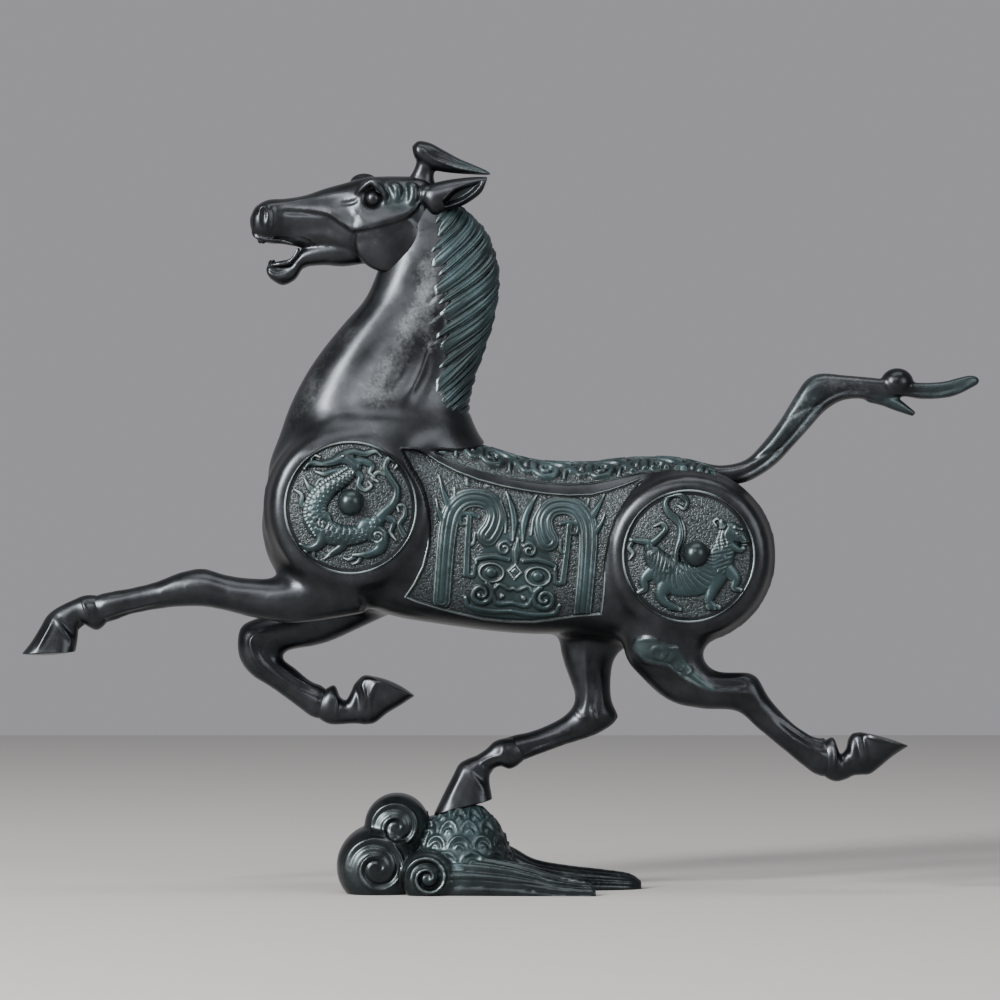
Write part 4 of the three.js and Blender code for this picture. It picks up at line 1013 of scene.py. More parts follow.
for name, ear in (("near_ear", (points, faces)), ("far_ear", mirrored(points, faces))):
    points, faces = ear
    piece(name, tilted(points), faces, blur=3, wear_and_highlight=0.5, shade_paint=0.2 * cup, patina=0.3 * cup)

# The forelock: a stalk on the poll that swells to a knob and sweeps back in a blade with a sharp lower edge.
# It is cast with the head, and verdigris is left on the blade.
FORELOCK_STALK = [
    (-44.5, 318, -28, 315, 6.8),
    (-40.3, 323.4, -30.4, 321, 4.8),
    (-38.4, 328, -29.8, 326.6, 4.6),
    (-37.6, 333.5, -30, 331.6, 4.6),
]
FORELOCK = [
    (-40.2, 335.6, -39.8, 332.2, 3),  # knob
    (-37.3, 337.9, -38.3, 329.4, 5.6),
    (-32, 337, -32.8, 325.4, 6.6),
    (-26, 333.8, -26.5, 324, 6),
    (-19, 330, -19.2, 323.2, 5),
    (-12, 327, -12.1, 322.8, 3.6),
    (-7.2, 324.9, -7.2, 322.6, 2.2),
    (-4.9, 323.3, -4.9, 322.7, 0.8),  # tip
]
CHASED_ON_THE_FORELOCK = [
    ([(-35, 335.4), (-31.5, 331), (-27, 328.8), (-19.5, 326.2), (-11, 324.4), (-6, 323.4)], 0.7, 0.5),
    ([(-33, 336), (-29.5, 332.4), (-25, 330.2), (-18, 327.4), (-10, 325.2)], 1.2, -0.5),
]
points, faces = cast([ribbed_form(FORELOCK_STALK), ribbed_form(FORELOCK)], cube=0.45)
points = run_fillets(points, faces, rounds=14)
points = chase(points, faces, CHASED_ON_THE_FORELOCK)
blade = ramp(points[:, 0], -26, 12) * (points[:, 2] > 326 - (points[:, 0] + 24) * 0.15)
piece("forelock", tilted(points), faces, patina=0.7 * blade, wear_and_highlight=0.7)

# The mane: seventeen locks that fall forward and down from the crest in an S, chased into the neck's back as
# smooth ridges with fine hairs between sharp furrows. They fade into the neck. Verdigris is left on it, and
# painted shade darkens the furrows. A lock's place along the crest is a station of the neck's ribs.
LOCKS = 17
CREST_FOOT, CREST_TOP = 2.3, 12.9
# How far round the neck the locks reach, as a share of a turn at a place along the crest.
LOCK_REACH = [(2.3, 0.11), (4.5, 0.14), (5.7, 0.158), (6.7, 0.18), (7.7, 0.208), (8.7, 0.236), (9.7, 0.258),
              (10.7, 0.272), (11.7, 0.268), (12.9, 0.25)]
# The mane and the carvings are the same metal, in a greener black that is a little glossier.
VERDIGRIS = (
    patinated("verdigris_brass", "#262a2b", "#34393a", "#162123", "#26373a", "#8b9697", roughness=0.31),
    "patinated_brass",
)
rows, columns = 480, 150
across = np.linspace(-1, 1, columns)[None]
crest = np.linspace(CREST_FOOT, CREST_TOP, rows)[:, None]
reach = border_at(crest, LOCK_REACH)
out = np.abs(across)
station = crest - (1.8 * out**1.1 + 0.5 * out**4) * np.interp(crest, [CREST_FOOT, 5.3], [0.25, 1])
phase = LOCKS * (crest - CREST_FOOT) / (CREST_TOP - CREST_FOOT)
phase = phase + 0.16 * np.sin(crest * 5) + 0.1 * np.sin(3 * out + crest)
lock = np.abs(np.sin(np.pi * phase)) ** 0.6
hair = np.abs(np.sin(3 * np.pi * phase + 1.2 * out)) ** 0.6
tips = 0.93 + 0.08 * np.abs(np.sin(np.pi * phase)) + 0.03 * np.sin(4.1 * np.floor(phase))
height = ribbed(NECK, station, 0.5 + reach * across)[..., 2]
border = eased(ramp(out, tips, -0.26) * ramp(crest, CREST_FOOT, 0.6) * ramp(height, 211, 4))
# The sheet's edge lies 1.6 mm under the neck's skin. The locks rise out of it, and their ridges grow from
# the edge.
lift = -1.6 + 1.7 * np.clip(5 * border, 0, 1) + border**0.7 * (1.4 * (lock - 0.5) + 0.6 * (hair - 0.5) + 0.2)
lift = np.where(out > 0.97, -2, lift)


def sheet(grid, direction):
    """An open sheet from a grid of points, whose faces look in a direction on the whole."""
    points = grid.reshape(-1, 3)
    faces = grid_faces(*grid.shape[:2])
    looks = np.sum(normals_of(points, faces) * direction)
    return points, faces if looks > 0 else faces[:, ::-1]


points, faces = sheet(ribbed(NECK, station, 0.5 + reach * across, lift=lift), (1, 0, 0.3))
# Painted shade in the furrows between the locks and between the hairs.
furrow_shade = border * (ramp(lock, 0.55, -0.55) + 0.5 * ramp(hair, 0.5, -0.5))
piece("mane", points, faces, VERDIGRIS, shade_paint=furrow_shade.ravel(), wear_and_highlight=1.2,
      patina=np.clip(1.6 * border, 0, 1).ravel())

# The tail streams back from the dock to a knot, and parts into a blade and a prong. Two lines run along its
# lower edge and two veins cross it. Verdigris is left on its bend, its blade and its prong.
TAIL = [
    (89.5, 193.5, 97.5, 180, 7),  # dock, inside the croup
    (99, 192, 104, 183, 7),
    (109.5, 194.4, 112.5, 185.4, 8),
    (117, 201.4, 122.8, 192, 9),
    (125.3, 212.2, 131.8, 201.4, 9),
    (131.8, 222.8, 138.8, 209.2, 8.5),
    (137, 230.3, 145.2, 216.2, 8),
    (143.5, 233.3, 152.6, 220.9, 7.5),  # bend
    (154.5, 232.5, 161, 222, 6.5),
    (166, 231.5, 169.6, 220.2, 6),
    (174, 230.5, 175.5, 222.5, 5),  # knot
    (181.5, 229.4, 181.5, 222.9, 4.5),
    (188, 229.2, 188, 221.9, 4.7),
    (194.7, 229.3, 194.9, 221.9, 4.6),
    (200.4, 230, 201.6, 222.7, 4.4),
    (206, 231.5, 206.6, 224.4, 4),
    (210.6, 232.4, 210.9, 226.6, 3.3),
    (213.6, 231.9, 213.8, 228.2, 2.3),
    (214.9, 230.6, 214.8, 229.4, 1),  # tip
]
TAIL_PRONG = [
    (163, 226, 164.5, 220.4, 4.5),
    (171.6, 225, 171, 218.9, 4.2),
    (178.4, 222.2, 176, 217, 3.4),
    (183.4, 218.4, 181.4, 215.2, 2.4),
    (186.4, 215.9, 185.2, 214, 1.3),  # tip
]
CHASED_ON_THE_TAIL = [
    ([(104, 184.3), (111, 186.8), (116.9, 190), (122.4, 194.4), (128.4, 200.2), (136, 208.8),
      (141.6, 215.4), (147, 220.3), (154.9, 223.8), (162.8, 223.5), (173.3, 219.6)], 0.9, 0.8),
    ([(104, 186.2), (110.2, 188.7), (115.7, 191.9), (121.1, 196.1), (126.9, 201.7), (134.4, 210.2),
      (140, 217), (146, 222.2), (154.7, 225.7), (163, 225.5)], 1.1, -0.9),
    ([(111.5, 194), (119.8, 197.6), (128, 199.6)], 1.0, -0.5),
    ([(129, 213.5), (137.2, 217.8), (144.5, 219)], 1.0, -0.5),
    ([(172, 224.9), (184, 223.6), (191.5, 223.1), (197.5, 223.4), (204.7, 225.2), (210.6, 228.2)], 0.8,
     0.6),
    ([(180, 225.6), (191, 225), (198, 225.4), (205, 227.4)], 1.2, -0.5),
]
knot = ball((178, 0, 229.2), (7.4, 7, 6.6))
points, faces = cast([ribbed_form(TAIL, power=3), ribbed_form(TAIL_PRONG), knot], cube=0.6)
points = run_fillets(points, faces, rounds=8)
points = chase(points, faces, CHASED_ON_THE_TAIL)
x, _, z = points.T
green = bell(x - 124, 9) + bell(x - 138, 6) + 1.7 * ramp(x, 184, 10)
green += 1.7 * bell(x - 175, 9) * ramp(z, 224.5, -2)
# The handled mark along the middle of the tail is a painted sheen that lightens it.
piece("tail", points, faces, wear_and_highlight=0.45, rub=0.05 * bell(x - 138, 30, power=4),
      patina=0.4 * green.clip(0, 1.7))

# The four medallions: low reliefs on a pebbled ground inside a raised rim, with a smooth pearl in the
# middle. A dragon coils round the pearl on each shoulder and a tiger on each haunch. A band of a relief is
# its middle line, its half widths, both as shares of the medallion's radius, its height in millimetres, and
# its cut if not round.
DOME_RADIUS = 135
FACE_OUT = 37.5
DISC_POINTS = 205  # along each side of the sheet
PEARL_RADIUS = 6


def volute(u, v, start, end, turn_start, turn_end, count=12):
    """Points on a spiral whose radius runs evenly from start to end. Angles are in turns."""
    radius = np.linspace(start, end, count)
    turn = 2 * np.pi * np.linspace(turn_start, turn_end, count)
    return np.stack([u + radius * np.cos(turn), v + radius * np.sin(turn)], -1)


DRAGON = [
    # middle line, half widths along it, height in millimetres, how it is cut
    ([(0.02, 0.54), (-0.12, 0.42), (-0.34, 0.28), (-0.51, 0.08), (-0.53, -0.16), (-0.36, -0.36),
      (-0.06, -0.43), (0.22, -0.38), (0.4, -0.22)], (0.08, 0.11, 0.14, 0.17, 0.2, 0.19, 0.16, 0.13, 0.11),
     2.4, "scaled"),
    ([(0, 0.64), (-0.2, 0.51), (-0.43, 0.37), (-0.63, 0.14), (-0.68, -0.14), (-0.54, -0.42)],
     (0.03, 0.038, 0.045, 0.045, 0.045, 0.025), 2.3, "beaded"),
    ([(0.36, -0.28), (0.52, -0.08), (0.67, 0.08), (0.71, 0.28), (0.61, 0.46), (0.53, 0.62), (0.6, 0.76),
      (0.73, 0.7), (0.68, 0.6)], (0.11, 0.08, 0.07, 0.062, 0.056, 0.052, 0.045, 0.035, 0.015), 1.8),
    ([(-0.7, 0.6), (-0.62, 0.68), (-0.44, 0.67), (-0.27, 0.7), (-0.1, 0.75), (0.06, 0.64)],
     (0.03, 0.05, 0.05, 0.07, 0.125, 0.115), 2.3),  # snout and skull
    ([(-0.6, 0.72), (-0.56, 0.8), (-0.46, 0.77)], (0.03, 0.03, 0.015), 1.8),
    ([(-0.04, 0.57), (-0.22, 0.56), (-0.4, 0.52), (-0.53, 0.55)], (0.09, 0.055, 0.04, 0.02), 1.7),  # jaw
    ([(-0.22, 0.48), (-0.34, 0.42), (-0.46, 0.43), (-0.52, 0.34), (-0.47, 0.28)],
     (0.04, 0.035, 0.03, 0.03, 0.012), 1.2),  # beard
    ([(-0.08, 0.82), (0.06, 0.85), (0.22, 0.82), (0.38, 0.86), (0.48, 0.78)],
     (0.07, 0.055, 0.05, 0.035, 0.012), 1.7),  # horn
    ([(0.06, 0.69), (0.2, 0.71), (0.33, 0.64), (0.3, 0.54), (0.37, 0.47)], (0.08, 0.06, 0.05, 0.035, 0.012),
     1.6),  # locks of its mane
    ([(0.06, 0.56), (0.15, 0.48), (0.13, 0.35), (0.22, 0.27), (0.32, 0.33), (0.28, 0.4)],
     (0.07, 0.055, 0.045, 0.035, 0.03, 0.012), 1.4),
    ([(0.42, 0.4), (0.34, 0.46), (0.42, 0.54), (0.54, 0.5)], (0.02, 0.035, 0.035, 0.025), 1.2),
    ([(-0.44, -0.2), (-0.42, -0.42), (-0.5, -0.57), (-0.64, -0.62), (-0.77, -0.55)],
     (0.17, 0.12, 0.08, 0.06, 0.02), 2.2),  # foreleg and claws
    ([(-0.64, -0.62), (-0.72, -0.7), (-0.68, -0.77)], (0.045, 0.035, 0.012), 1.5),
    ([(-0.56, -0.62), (-0.56, -0.74), (-0.5, -0.8)], (0.04, 0.03, 0.012), 1.4),
    ([(0.26, -0.32), (0.45, -0.44), (0.45, -0.62), (0.27, -0.71), (0.04, -0.72)],
     (0.17, 0.14, 0.09, 0.06, 0.025), 2.2),  # hind leg and claws
    ([(0.1, -0.72), (-0.02, -0.79), (-0.1, -0.77)], (0.045, 0.03, 0.012), 1.4),
    ([(0.18, -0.72), (0.12, -0.82), (0.04, -0.86)], (0.04, 0.03, 0.012), 1.3),
    ([(-0.08, -0.46), (-0.14, -0.6), (-0.28, -0.69), (-0.4, -0.78)], (0.11, 0.07, 0.05, 0.015), 1.5),
    ([(-0.6, 0.0), (-0.74, 0.06), (-0.75, 0.2), (-0.86, 0.28)], (0.07, 0.05, 0.035, 0.012), 1.4),  # flames
    ([(-0.46, 0.2), (-0.62, 0.3), (-0.7, 0.44)], (0.07, 0.045, 0.012), 1.4),
    ([(0.82, -0.42), (0.75, -0.26), (0.83, -0.12), (0.82, 0.02), (0.72, 0.03), (0.74, -0.06)],
     (0.05, 0.045, 0.04, 0.035, 0.025, 0.015), 1.2),
    ([(0.54, -0.14), (0.66, -0.22), (0.62, -0.38), (0.7, -0.5)], (0.06, 0.05, 0.035, 0.012), 1.3),
    ([(-0.12, 0.79), (-0.11, 0.79)], (0.035, 0.035), 3.2),  # eye
    ([(-0.5, 0.62), (-0.3, 0.62), (-0.12, 0.66), (-0.02, 0.62)], (0.02, 0.02), -0.7, "engraved"),  # mouth
    (volute(0.42, -0.44, 0.1, 0.03, 0.1, 1.3), (0.016, 0.016), -0.5, "engraved"),
    (volute(-0.42, -0.24, 0.1, 0.03, 0.4, 1.6), (0.016, 0.016), -0.5, "engraved"),
]
TIGER = [
    ([(0.62, 0.3), (0.53, 0.08), (0.41, -0.16), (0.16, -0.33), (-0.14, -0.35), (-0.36, -0.22),
      (-0.5, -0.04)], (0.16, 0.19, 0.24, 0.26, 0.26, 0.26, 0.17), 2.5, "striped"),
    ([(-0.54, 0.02), (-0.36, -0.2)], (0.14, 0.22), 2.8, "striped"),  # haunch
    ([(0.5, -0.04), (0.44, -0.2)], (0.17, 0.17), 2.7, "striped"),  # shoulder
    ([(0.64, 0.34), (0.7, 0.32)], (0.18, 0.17), 2.9),  # skull
    ([(0.8, 0.3), (0.85, 0.24)], (0.1, 0.085), 3.0),  # muzzle
    ([(0.66, 0.16), (0.77, 0.1), (0.83, 0.12)], (0.09, 0.055, 0.04), 2.5),  # jaw
    ([(0.7, 0.44), (0.8, 0.41)], (0.05, 0.035), 3.4),  # brow
    ([(0.52, 0.46), (0.49, 0.53)], (0.07, 0.04), 2.9),  # ear
    ([(0.42, 0.46), (0.38, 0.53), (0.43, 0.57), (0.47, 0.54)], (0.015, 0.022, 0.022, 0.012), 1.0),
    ([(-0.2, -0.1), (-0.19, 0.08), (-0.12, 0.3), (-0.14, 0.5), (-0.31, 0.67), (-0.36, 0.81), (-0.28, 0.93),
      (-0.14, 0.94), (-0.03, 0.83), (-0.08, 0.73), (-0.16, 0.77)],
     (0.06, 0.055, 0.07, 0.065, 0.056, 0.052, 0.05, 0.045, 0.042, 0.035, 0.02), 1.9),  # tail
    ([(-0.5, -0.04), (-0.6, 0.12), (-0.64, 0.21), (-0.88, 0.25)], (0.12, 0.08, 0.06, 0.04), 2.1),  # flames
    ([(-0.62, 0.16), (-0.46, 0.29), (-0.36, 0.42), (-0.42, 0.5), (-0.53, 0.46)],
     (0.07, 0.06, 0.05, 0.04, 0.02), 1.7),
    ([(-0.84, 0.26), (-0.91, 0.14), (-0.86, 0.04), (-0.91, -0.05)], (0.045, 0.04, 0.035, 0.012), 1.5),
    ([(0.43, -0.3), (0.36, -0.52), (0.31, -0.68), (0.4, -0.78)], (0.17, 0.1, 0.075, 0.05), 2.2),  # legs
    ([(0.32, -0.76), (0.46, -0.78)], (0.07, 0.045), 2.1),
    ([(0.58, -0.2), (0.72, -0.34), (0.7, -0.48), (0.8, -0.52)], (0.13, 0.08, 0.06, 0.035), 1.7),
    ([(-0.3, -0.36), (-0.42, -0.56), (-0.36, -0.7), (-0.22, -0.78)], (0.17, 0.11, 0.075, 0.05), 2.2),
    ([(-0.28, -0.76), (-0.14, -0.81)], (0.07, 0.04), 2.1),
    ([(-0.5, -0.2), (-0.68, -0.34), (-0.68, -0.5), (-0.79, -0.56)], (0.13, 0.08, 0.06, 0.03), 1.6),
    ([(0.73, 0.35), (0.74, 0.35)], (0.032, 0.032), 3.5),  # eye
    ([(0.92, 0.2), (0.8, 0.19), (0.7, 0.22)], (0.016, 0.016), -0.9, "engraved"),  # mouth
    ([(0.58, 0.46), (0.52, 0.34), (0.56, 0.18)], (0.016, 0.016), -0.8, "engraved"),  # ruff
    ([(0.5, 0.4), (0.45, 0.28), (0.48, 0.12)], (0.016, 0.016), -0.8, "engraved"),
    ([(-0.2, 0.72), (-0.1, 0.48), (-0.08, 0.28), (-0.16, 0.06)], (0.012, 0.012), -0.5, "engraved"),
]


def carving(places, bands):
    """Height of a low relief at places, the highest of its bands, and the painted shade next to them and in
    their engraved lines. With q the distance from a band's middle line over its half width there, a round
    band stands h (1 - q**2) ** 0.5, and a flat or grooved one h (1 - q**8). A striped band is a round one
    with slanting folds 2.2 mm apart, a beaded one has beads 1.5 mm apart, and a scaled one has folds along
    its left side and rows of scales on the rest. An engraved line is cut into those before it."""
    height = np.zeros(len(places))
    shade_beside = np.zeros(len(places))
    groove_shade_paint = np.zeros(len(places))
    for line, widths, rise, *cuts in bands:
        cut = cuts[0] if cuts else "round"
        distance, passed, side = from_line(places, line, max(widths) + 1.5)
        half = np.interp(passed, np.linspace(0, 1, len(widths)), widths)
        q = np.clip(distance / half, 0, 1)
        if cut == "engraved":
            groove = bell(distance, half) * np.clip(2 * height - 1, 0, 1)
            height += rise * groove
            groove_shade_paint = np.maximum(groove_shade_paint, 0.7 * groove)
            continue
        band = rise * (1 - q**8) if cut in ("flat", "grooved") else rise * (1 - q**2) ** 0.5
        along = passed * np.sum(np.linalg.norm(np.diff(line, axis=0), axis=1))
        slant = 1.8 if cut == "striped" else 0.7
        folds = np.abs(np.sin(np.pi * (along / 2.2 + slant * side * q))) ** 0.5
        if cut == "grooved":
            band -= 0.4 * (bell(q - 0.3, 0.09) + bell(q - 0.7, 0.09))
        if cut == "beaded":
            band *= 0.5 + 0.5 * np.abs(np.sin(np.pi * along / 1.5)) ** 0.5
        if cut == "striped":
            band *= 0.8 + 0.2 * folds
        if cut == "scaled":
            row = np.floor((1 - side * q) * 2.4)
            scales = np.abs(np.sin(np.pi * (along / 2.6 + row / 2))) ** 0.5
            band *= 0.82 + 0.18 * np.where(row < 1, folds, scales)
        height = np.maximum(height, np.where(q < 1, band, 0))
        shade_beside = np.maximum(shade_beside, bell(np.maximum(distance - half, 0), 0.55))
    return height, np.maximum(shade_beside * ramp(height, 0.35, -0.35), groove_shade_paint)


def medallion(name, centre, side, bands):
    """A medallion's sheet over the disc x = u (1 - v*v/2) ** 0.5, z = v (1 - u*u/2) ** 0.5, on a ground
    that lies 37.5 - r*r / 270 mm out. The rim stands 1.1 mm over it from 0.98 to 1.03 of the radius, then
    drops to the boss."""
    u, v = np.meshgrid(np.linspace(-1, 1, DISC_POINTS), np.linspace(-1, 1, DISC_POINTS))
    places = np.stack([u * np.sqrt(1 - v**2 / 2), v * np.sqrt(1 - u**2 / 2)], -1).reshape(-1, 2)
    places *= 1.065 * MEDALLION_RADIUS
    radius = np.linalg.norm(places, axis=1) / MEDALLION_RADIUS
    figure, shade_paint = carving(places, [
        (np.array(line) * MEDALLION_RADIUS, np.array(widths) * MEDALLION_RADIUS, *rest)
        for line, widths, *rest in bands
    ])
    figure *= radius < 0.97
    rim = 1.1 * bell(radius - 1.003, 0.022, power=4) - 2.4 * ramp(radius, 1.025, 0.03)
    out = FACE_OUT - (radius * MEDALLION_RADIUS) ** 2 / (2 * DOME_RADIUS) + figure + rim
    grid = np.stack([centre[0] + places[:, 0], side * out, centre[1] + places[:, 1]], -1)
    points, faces = sheet(grid.reshape(DISC_POINTS, DISC_POINTS, 3), (0, side, 0))
    ground = ramp(figure, 0.3, -0.3) * (radius < 0.972)
    # Painted shade darkens the ground next to the figures, their engraved lines and a thin ring inside the
    # rim.
    shade_paint = np.maximum(0.75 * shade_paint, bell(radius - 0.968, 0.012))
    piece(name, points, faces, VERDIGRIS, wear_and_highlight=1.4, shade_paint=shade_paint, punched=ground, patina=1.0 * (radius < 0.98))


for name, centre, bands, pearl in (
    ("shoulder", SHOULDER, DRAGON, (-67, 175.4)),
    ("haunch", HAUNCH, TIGER, (86, 152.4)),
):
    for word, side in (("near", -1), ("far", 1)):
        medallion(f"{word}_{name}_medallion", centre, side, bands)
        points, faces = ball((pearl[0], side * FACE_OUT, pearl[1]), [PEARL_RADIUS] * 3, around=72)
        piece(f"{word}_{name}_pearl", points, faces, VERDIGRIS, wear_and_highlight=0, patina=0.6)

# The flank panels: a horned beast mask in low relief on a pebbled ground, cut back below two bright borders.
# They are chased into the trunk's sides. A band is as on the medallions, but in millimetres from the mask's
# middle, and one half is drawn twice.
MASK_MIDDLE = (6.8, 155)
MASK_TILT = -0.085  # in radians
MASK_EYE = (10.4, -11.8)
MASK_HALF = [
    ([(31.5, -26), (31.6, -8), (31.3, 6), (29.8, 14.2), (25.5, 19.4), (19.5, 20.8), (13.6, 19.2),
      (10.6, 14.2), (11.4, 8.5), (13.4, 4.6)], (4.1, 4.2, 4.4, 4.6, 4.5, 4.3, 4.4, 4.5, 4.9, 5.2), 1.35,
     "grooved"),  # horn
    ([(31, 15), (34.6, 22), (37.4, 29.5)], (2.4, 1.3, 0.3), 1.2),  # spikes
    ([(32.5, 7), (36, 13.4), (37.6, 18.6)], (1.8, 1.1, 0.3), 1.1),
    ([(29, 19), (30, 24.5)], (1.4, 0.5), 1.0),
    ([(24, 26.6), (24.6, 29)], (1.2, 0.8), 0.8),
    ([(15, 26.8), (16, 28.8)], (1.2, 0.8), 0.8),
    ([(18.3, 12.4), (22, 13.4), (26, 12.6), (26, 9), (24, 8.6)], (1.0, 1.2, 1.1, 1, 0.8), 1.0),  # fret
    ([(22.4, 12), (22.2, 0), (21.6, -13)], (1.4, 1.4, 1.5), 1.1, "flat"),
    ([(19, 5), (19.6, 0.4), (22, -0.6)], (0.8, 0.9, 0.9), 0.9),
    ([(22, -13.6), (18.4, -13.6), (18, -7.6)], (1.2, 1.2, 0.9), 1.0),
    ([(6.9, 24.6), (4, 18.6), (2.2, 11.5), (2.2, 3.4)], (0.4, 1.7, 1.8, 0.8), 1.5),  # crest
    ([(8.9, 20.5), (6.4, 13.6), (5.7, 6.5)], (0.3, 1.0, 0.5), 1.1),
    ([(0, 4.4), (0, -1), (0, -6)], (0.6, 2.1, 1.2), 1.4),
    (volute(5.6, -0.6, 3.2, 0.9, 0.4, -0.8), (1.0, 0.95, 0.8), 1.4),
    ([(3.4, -5.4), (10, -4.6), (17, -6.2), (17.6, -8.2)], (1.3, 1.4, 1.2, 0.7), 1.6),  # brow
    (arc(*MASK_EYE, 5.4, 4.1, 0, 1, 16), (0.75, 0.75), 1.35),  # ring round the eye
    (volute(14.2, -21.6, 5.4, 1.1, 0.32, 1.9, 18), (1.4, 1.2, 0.9), 1.7),  # nostril
    ([(8.8, -19.2), (6.2, -16.8), (2.2, -18.6), (0, -18)], (1, 1, 1, 0.9), 1.4),
    ([(8.6, -22), (6.4, -25.4), (0, -24.6)], (1.1, 1.3, 1.1), 1.5),  # lips
    ([(21, -24), (18.6, -28), (9, -29.2), (0, -28.4)], (1, 1.2, 1.2, 1), 1.3),
    ([(4.6, -21.8), (5, -22.2)], (1.2, 1.2), 1.6),  # tooth
]
FACE = [([(0, -9), (0, -27)], (17.5, 19), 0.5, "flat")]
rows, columns = 205, 295
x = np.linspace(-46, 62, columns)[None]
upper = border_at(x, UPPER_BORDER) + 2
lower = border_at(x, LOWER_BORDER) - 2
z = lower + np.linspace(0, 1, rows)[:, None] * (upper - lower)
places = np.stack(np.broadcast_arrays(x, z), -1).reshape(-1, 2)
cos, sin = np.cos(MASK_TILT), np.sin(MASK_TILT)
u, v = ((places - MASK_MIDDLE) @ np.array([[cos, -sin], [sin, cos]])).T
half = np.stack([np.abs(u), v], -1)
face, _ = carving(half, FACE)
figure, shade_paint = carving(half, MASK_HALF)
eyeball = 1.9 * np.clip(1 - off_centre(half, MASK_EYE, (2.9, 2.5)) ** 2, 0, 1) ** 0.5
# A diamond with a groove in it stands between the brows.
diamond = np.abs(u) / 3.3 + np.abs(v + 10.6) / 3.8
diamond = np.where(diamond < 1, 1.5 - 0.5 * bell(diamond - 0.6, 0.12), 0)
inside = inside_flank(places)
figure = np.max([figure, eyeball, diamond, face], axis=0) * ramp(inside, 0.8, 0.6)
border = 1.2 * bell(inside, 0.7) - 3 * ramp(inside, -0.4, -1.2)
out = flank_at(places) - 0.7 + figure + border
# Painted shade darkens the ground next to the relief and just inside the raised border.
shade_paint = np.maximum(0.75 * shade_paint, bell(inside - 1.1, 0.5))
ground = ramp(figure, 0.3, -0.3) * (inside > 0.8)
for name, side in (("near_flank_panel", -1), ("far_flank_panel", 1)):
    grid = np.stack([places[:, 0], side * out, places[:, 1]], -1).reshape(rows, columns, 3)
    points, faces = sheet(grid, (0, side, 0))
    piece(name, points, faces, VERDIGRIS, wear_and_highlight=1.3, shade_paint=shade_paint, patina=1.0 * (inside > 0.5), punched=ground)

# The panel along the spine: scrolls, leaves and short bars in low relief from the neck's foot to the croup,
# cut back below a plain band that the trunk keeps on both sides. Its bands are in millimetres along the
# spine and across it, and repeat every 25 mm.
SCROLL_PITCH = 25
rows, columns = 300, 190
station = np.linspace(5.6, 12.9, rows)
around = np.linspace(-0.17, 0.17, columns)
flat = ribbed(TRUNK, station[:, None], around[None], power=TRUNK_POWER)
spine = flat[:, columns // 2]
length = np.cumsum(np.r_[0, np.linalg.norm(np.diff(spine, axis=0), axis=1)])
width = np.cumsum(np.r_[0, np.linalg.norm(np.diff(flat[rows // 2], axis=0), axis=1)])
width -= width[-1] / 2
places = np.stack(np.meshgrid(length, width, indexing="ij"), -1).reshape(-1, 2)
half = np.stack([places[:, 0], np.abs(places[:, 1])], -1)
SCROLL = [
    (volute(7, 19, 6, 1.2, 0.55, -0.9, 20), (1.8, 1.6, 1.1), 1.9),
    ([(1, 20.5), (1.6, 13), (8, 10.6), (15, 12.6), (18.6, 18), (22, 22.6), (26, 21)],
     (1.6, 1.9, 1.7, 1.9, 1.9, 1.4, 0.6), 1.7),
    ([(14.6, 24.6), (15.4, 19), (19, 16), (21.4, 12), (19, 8.6)], (0.8, 1.4, 1.6, 1.4, 0.6), 1.5),
    ([(22.6, 16.6), (23.4, 12), (26, 9.6)], (1.2, 1.3, 0.6), 1.3),
    ([(0, 5), (6, 7.6), (12, 5), (18, 7.2), (25, 5)], (1.3, 1.5, 1.3), 1.5),
    ([(8, 0), (16, 0)], (2.6, 2.6), 1.7, "grooved"),
    ([(20, 0), (23, 0)], (1.6, 1.6), 1.7),
]
figure, shade_paint = carving(half, [
    (np.array(line) + (start, 0), *rest)
    for start in np.arange(6, length[-1] - 6, SCROLL_PITCH)
    for line, *rest in SCROLL
])
inside = inside_spine(flat.reshape(-1, 3)[:, ::2])
figure *= ramp(inside, 0.8, 0.8)
border = 0.8 * bell(inside, 0.6) - 3 * ramp(inside, -0.3, -1.2)
lift = (-0.6 + figure + border).reshape(rows, columns)
grid = ribbed(TRUNK, station[:, None], around[None], power=TRUNK_POWER, lift=lift)
points, faces = sheet(grid, (0, 0, 1))
# Painted shade darkens the ground next to the scrolls.
piece("spine_panel", points, faces, VERDIGRIS, wear_and_highlight=0.4, shade_paint=0.9 * shade_paint, patina=1.0 * (inside > 0.5),
      punched=ramp(figure, 0.3, -0.3) * (inside > 0.8))

# The base: a cloud cast in brass, with rolled heads in front, a hump of curls under the hoof and two fluted
# wisps behind. The hoof is let into the top of the hump. Verdigris lies in the curls and flutes.
# x, y, z, radius and half depth of each rolled head
ROLLS = [(-47, 0, 30, 14.5, 15), (-55.5, 0, 12, 18.5, 21), (-33, -18, 8, 12, 8), (-33, 18, 8, 12, 8)]
HUMP = (-19, 2, 5)  # its middle
HUMP_RADII = (25, 24, 36)
ROUND_THE_HUMP = 150.8  # millimetres
CURLS_IN_A_ROW = 12
NEAR_WISP = [
    (-40, 16, -40, -8, 9),
    (-18, 18, -18, -8, 10),
    (4, 15, 4, -7, 8.5),
    (26, 8.5, 26, -6, 6.5),
    (38, 6, 38, -4, 4.5),
    (42, 2, 42, -2, 2),
]
FAR_WISP = [
    (-18, 30, -18, -8, 12),
    (4, 20, 4, -8, 11),
    (15, 14, 15, -8, 10),
    (30, 11, 30, -7, 9),
    (46, 9, 46, -6, 8),
    (58, 7, 58, -5, 6),
    (63.5, 3.5, 63.5, -2.5, 2.5),
]
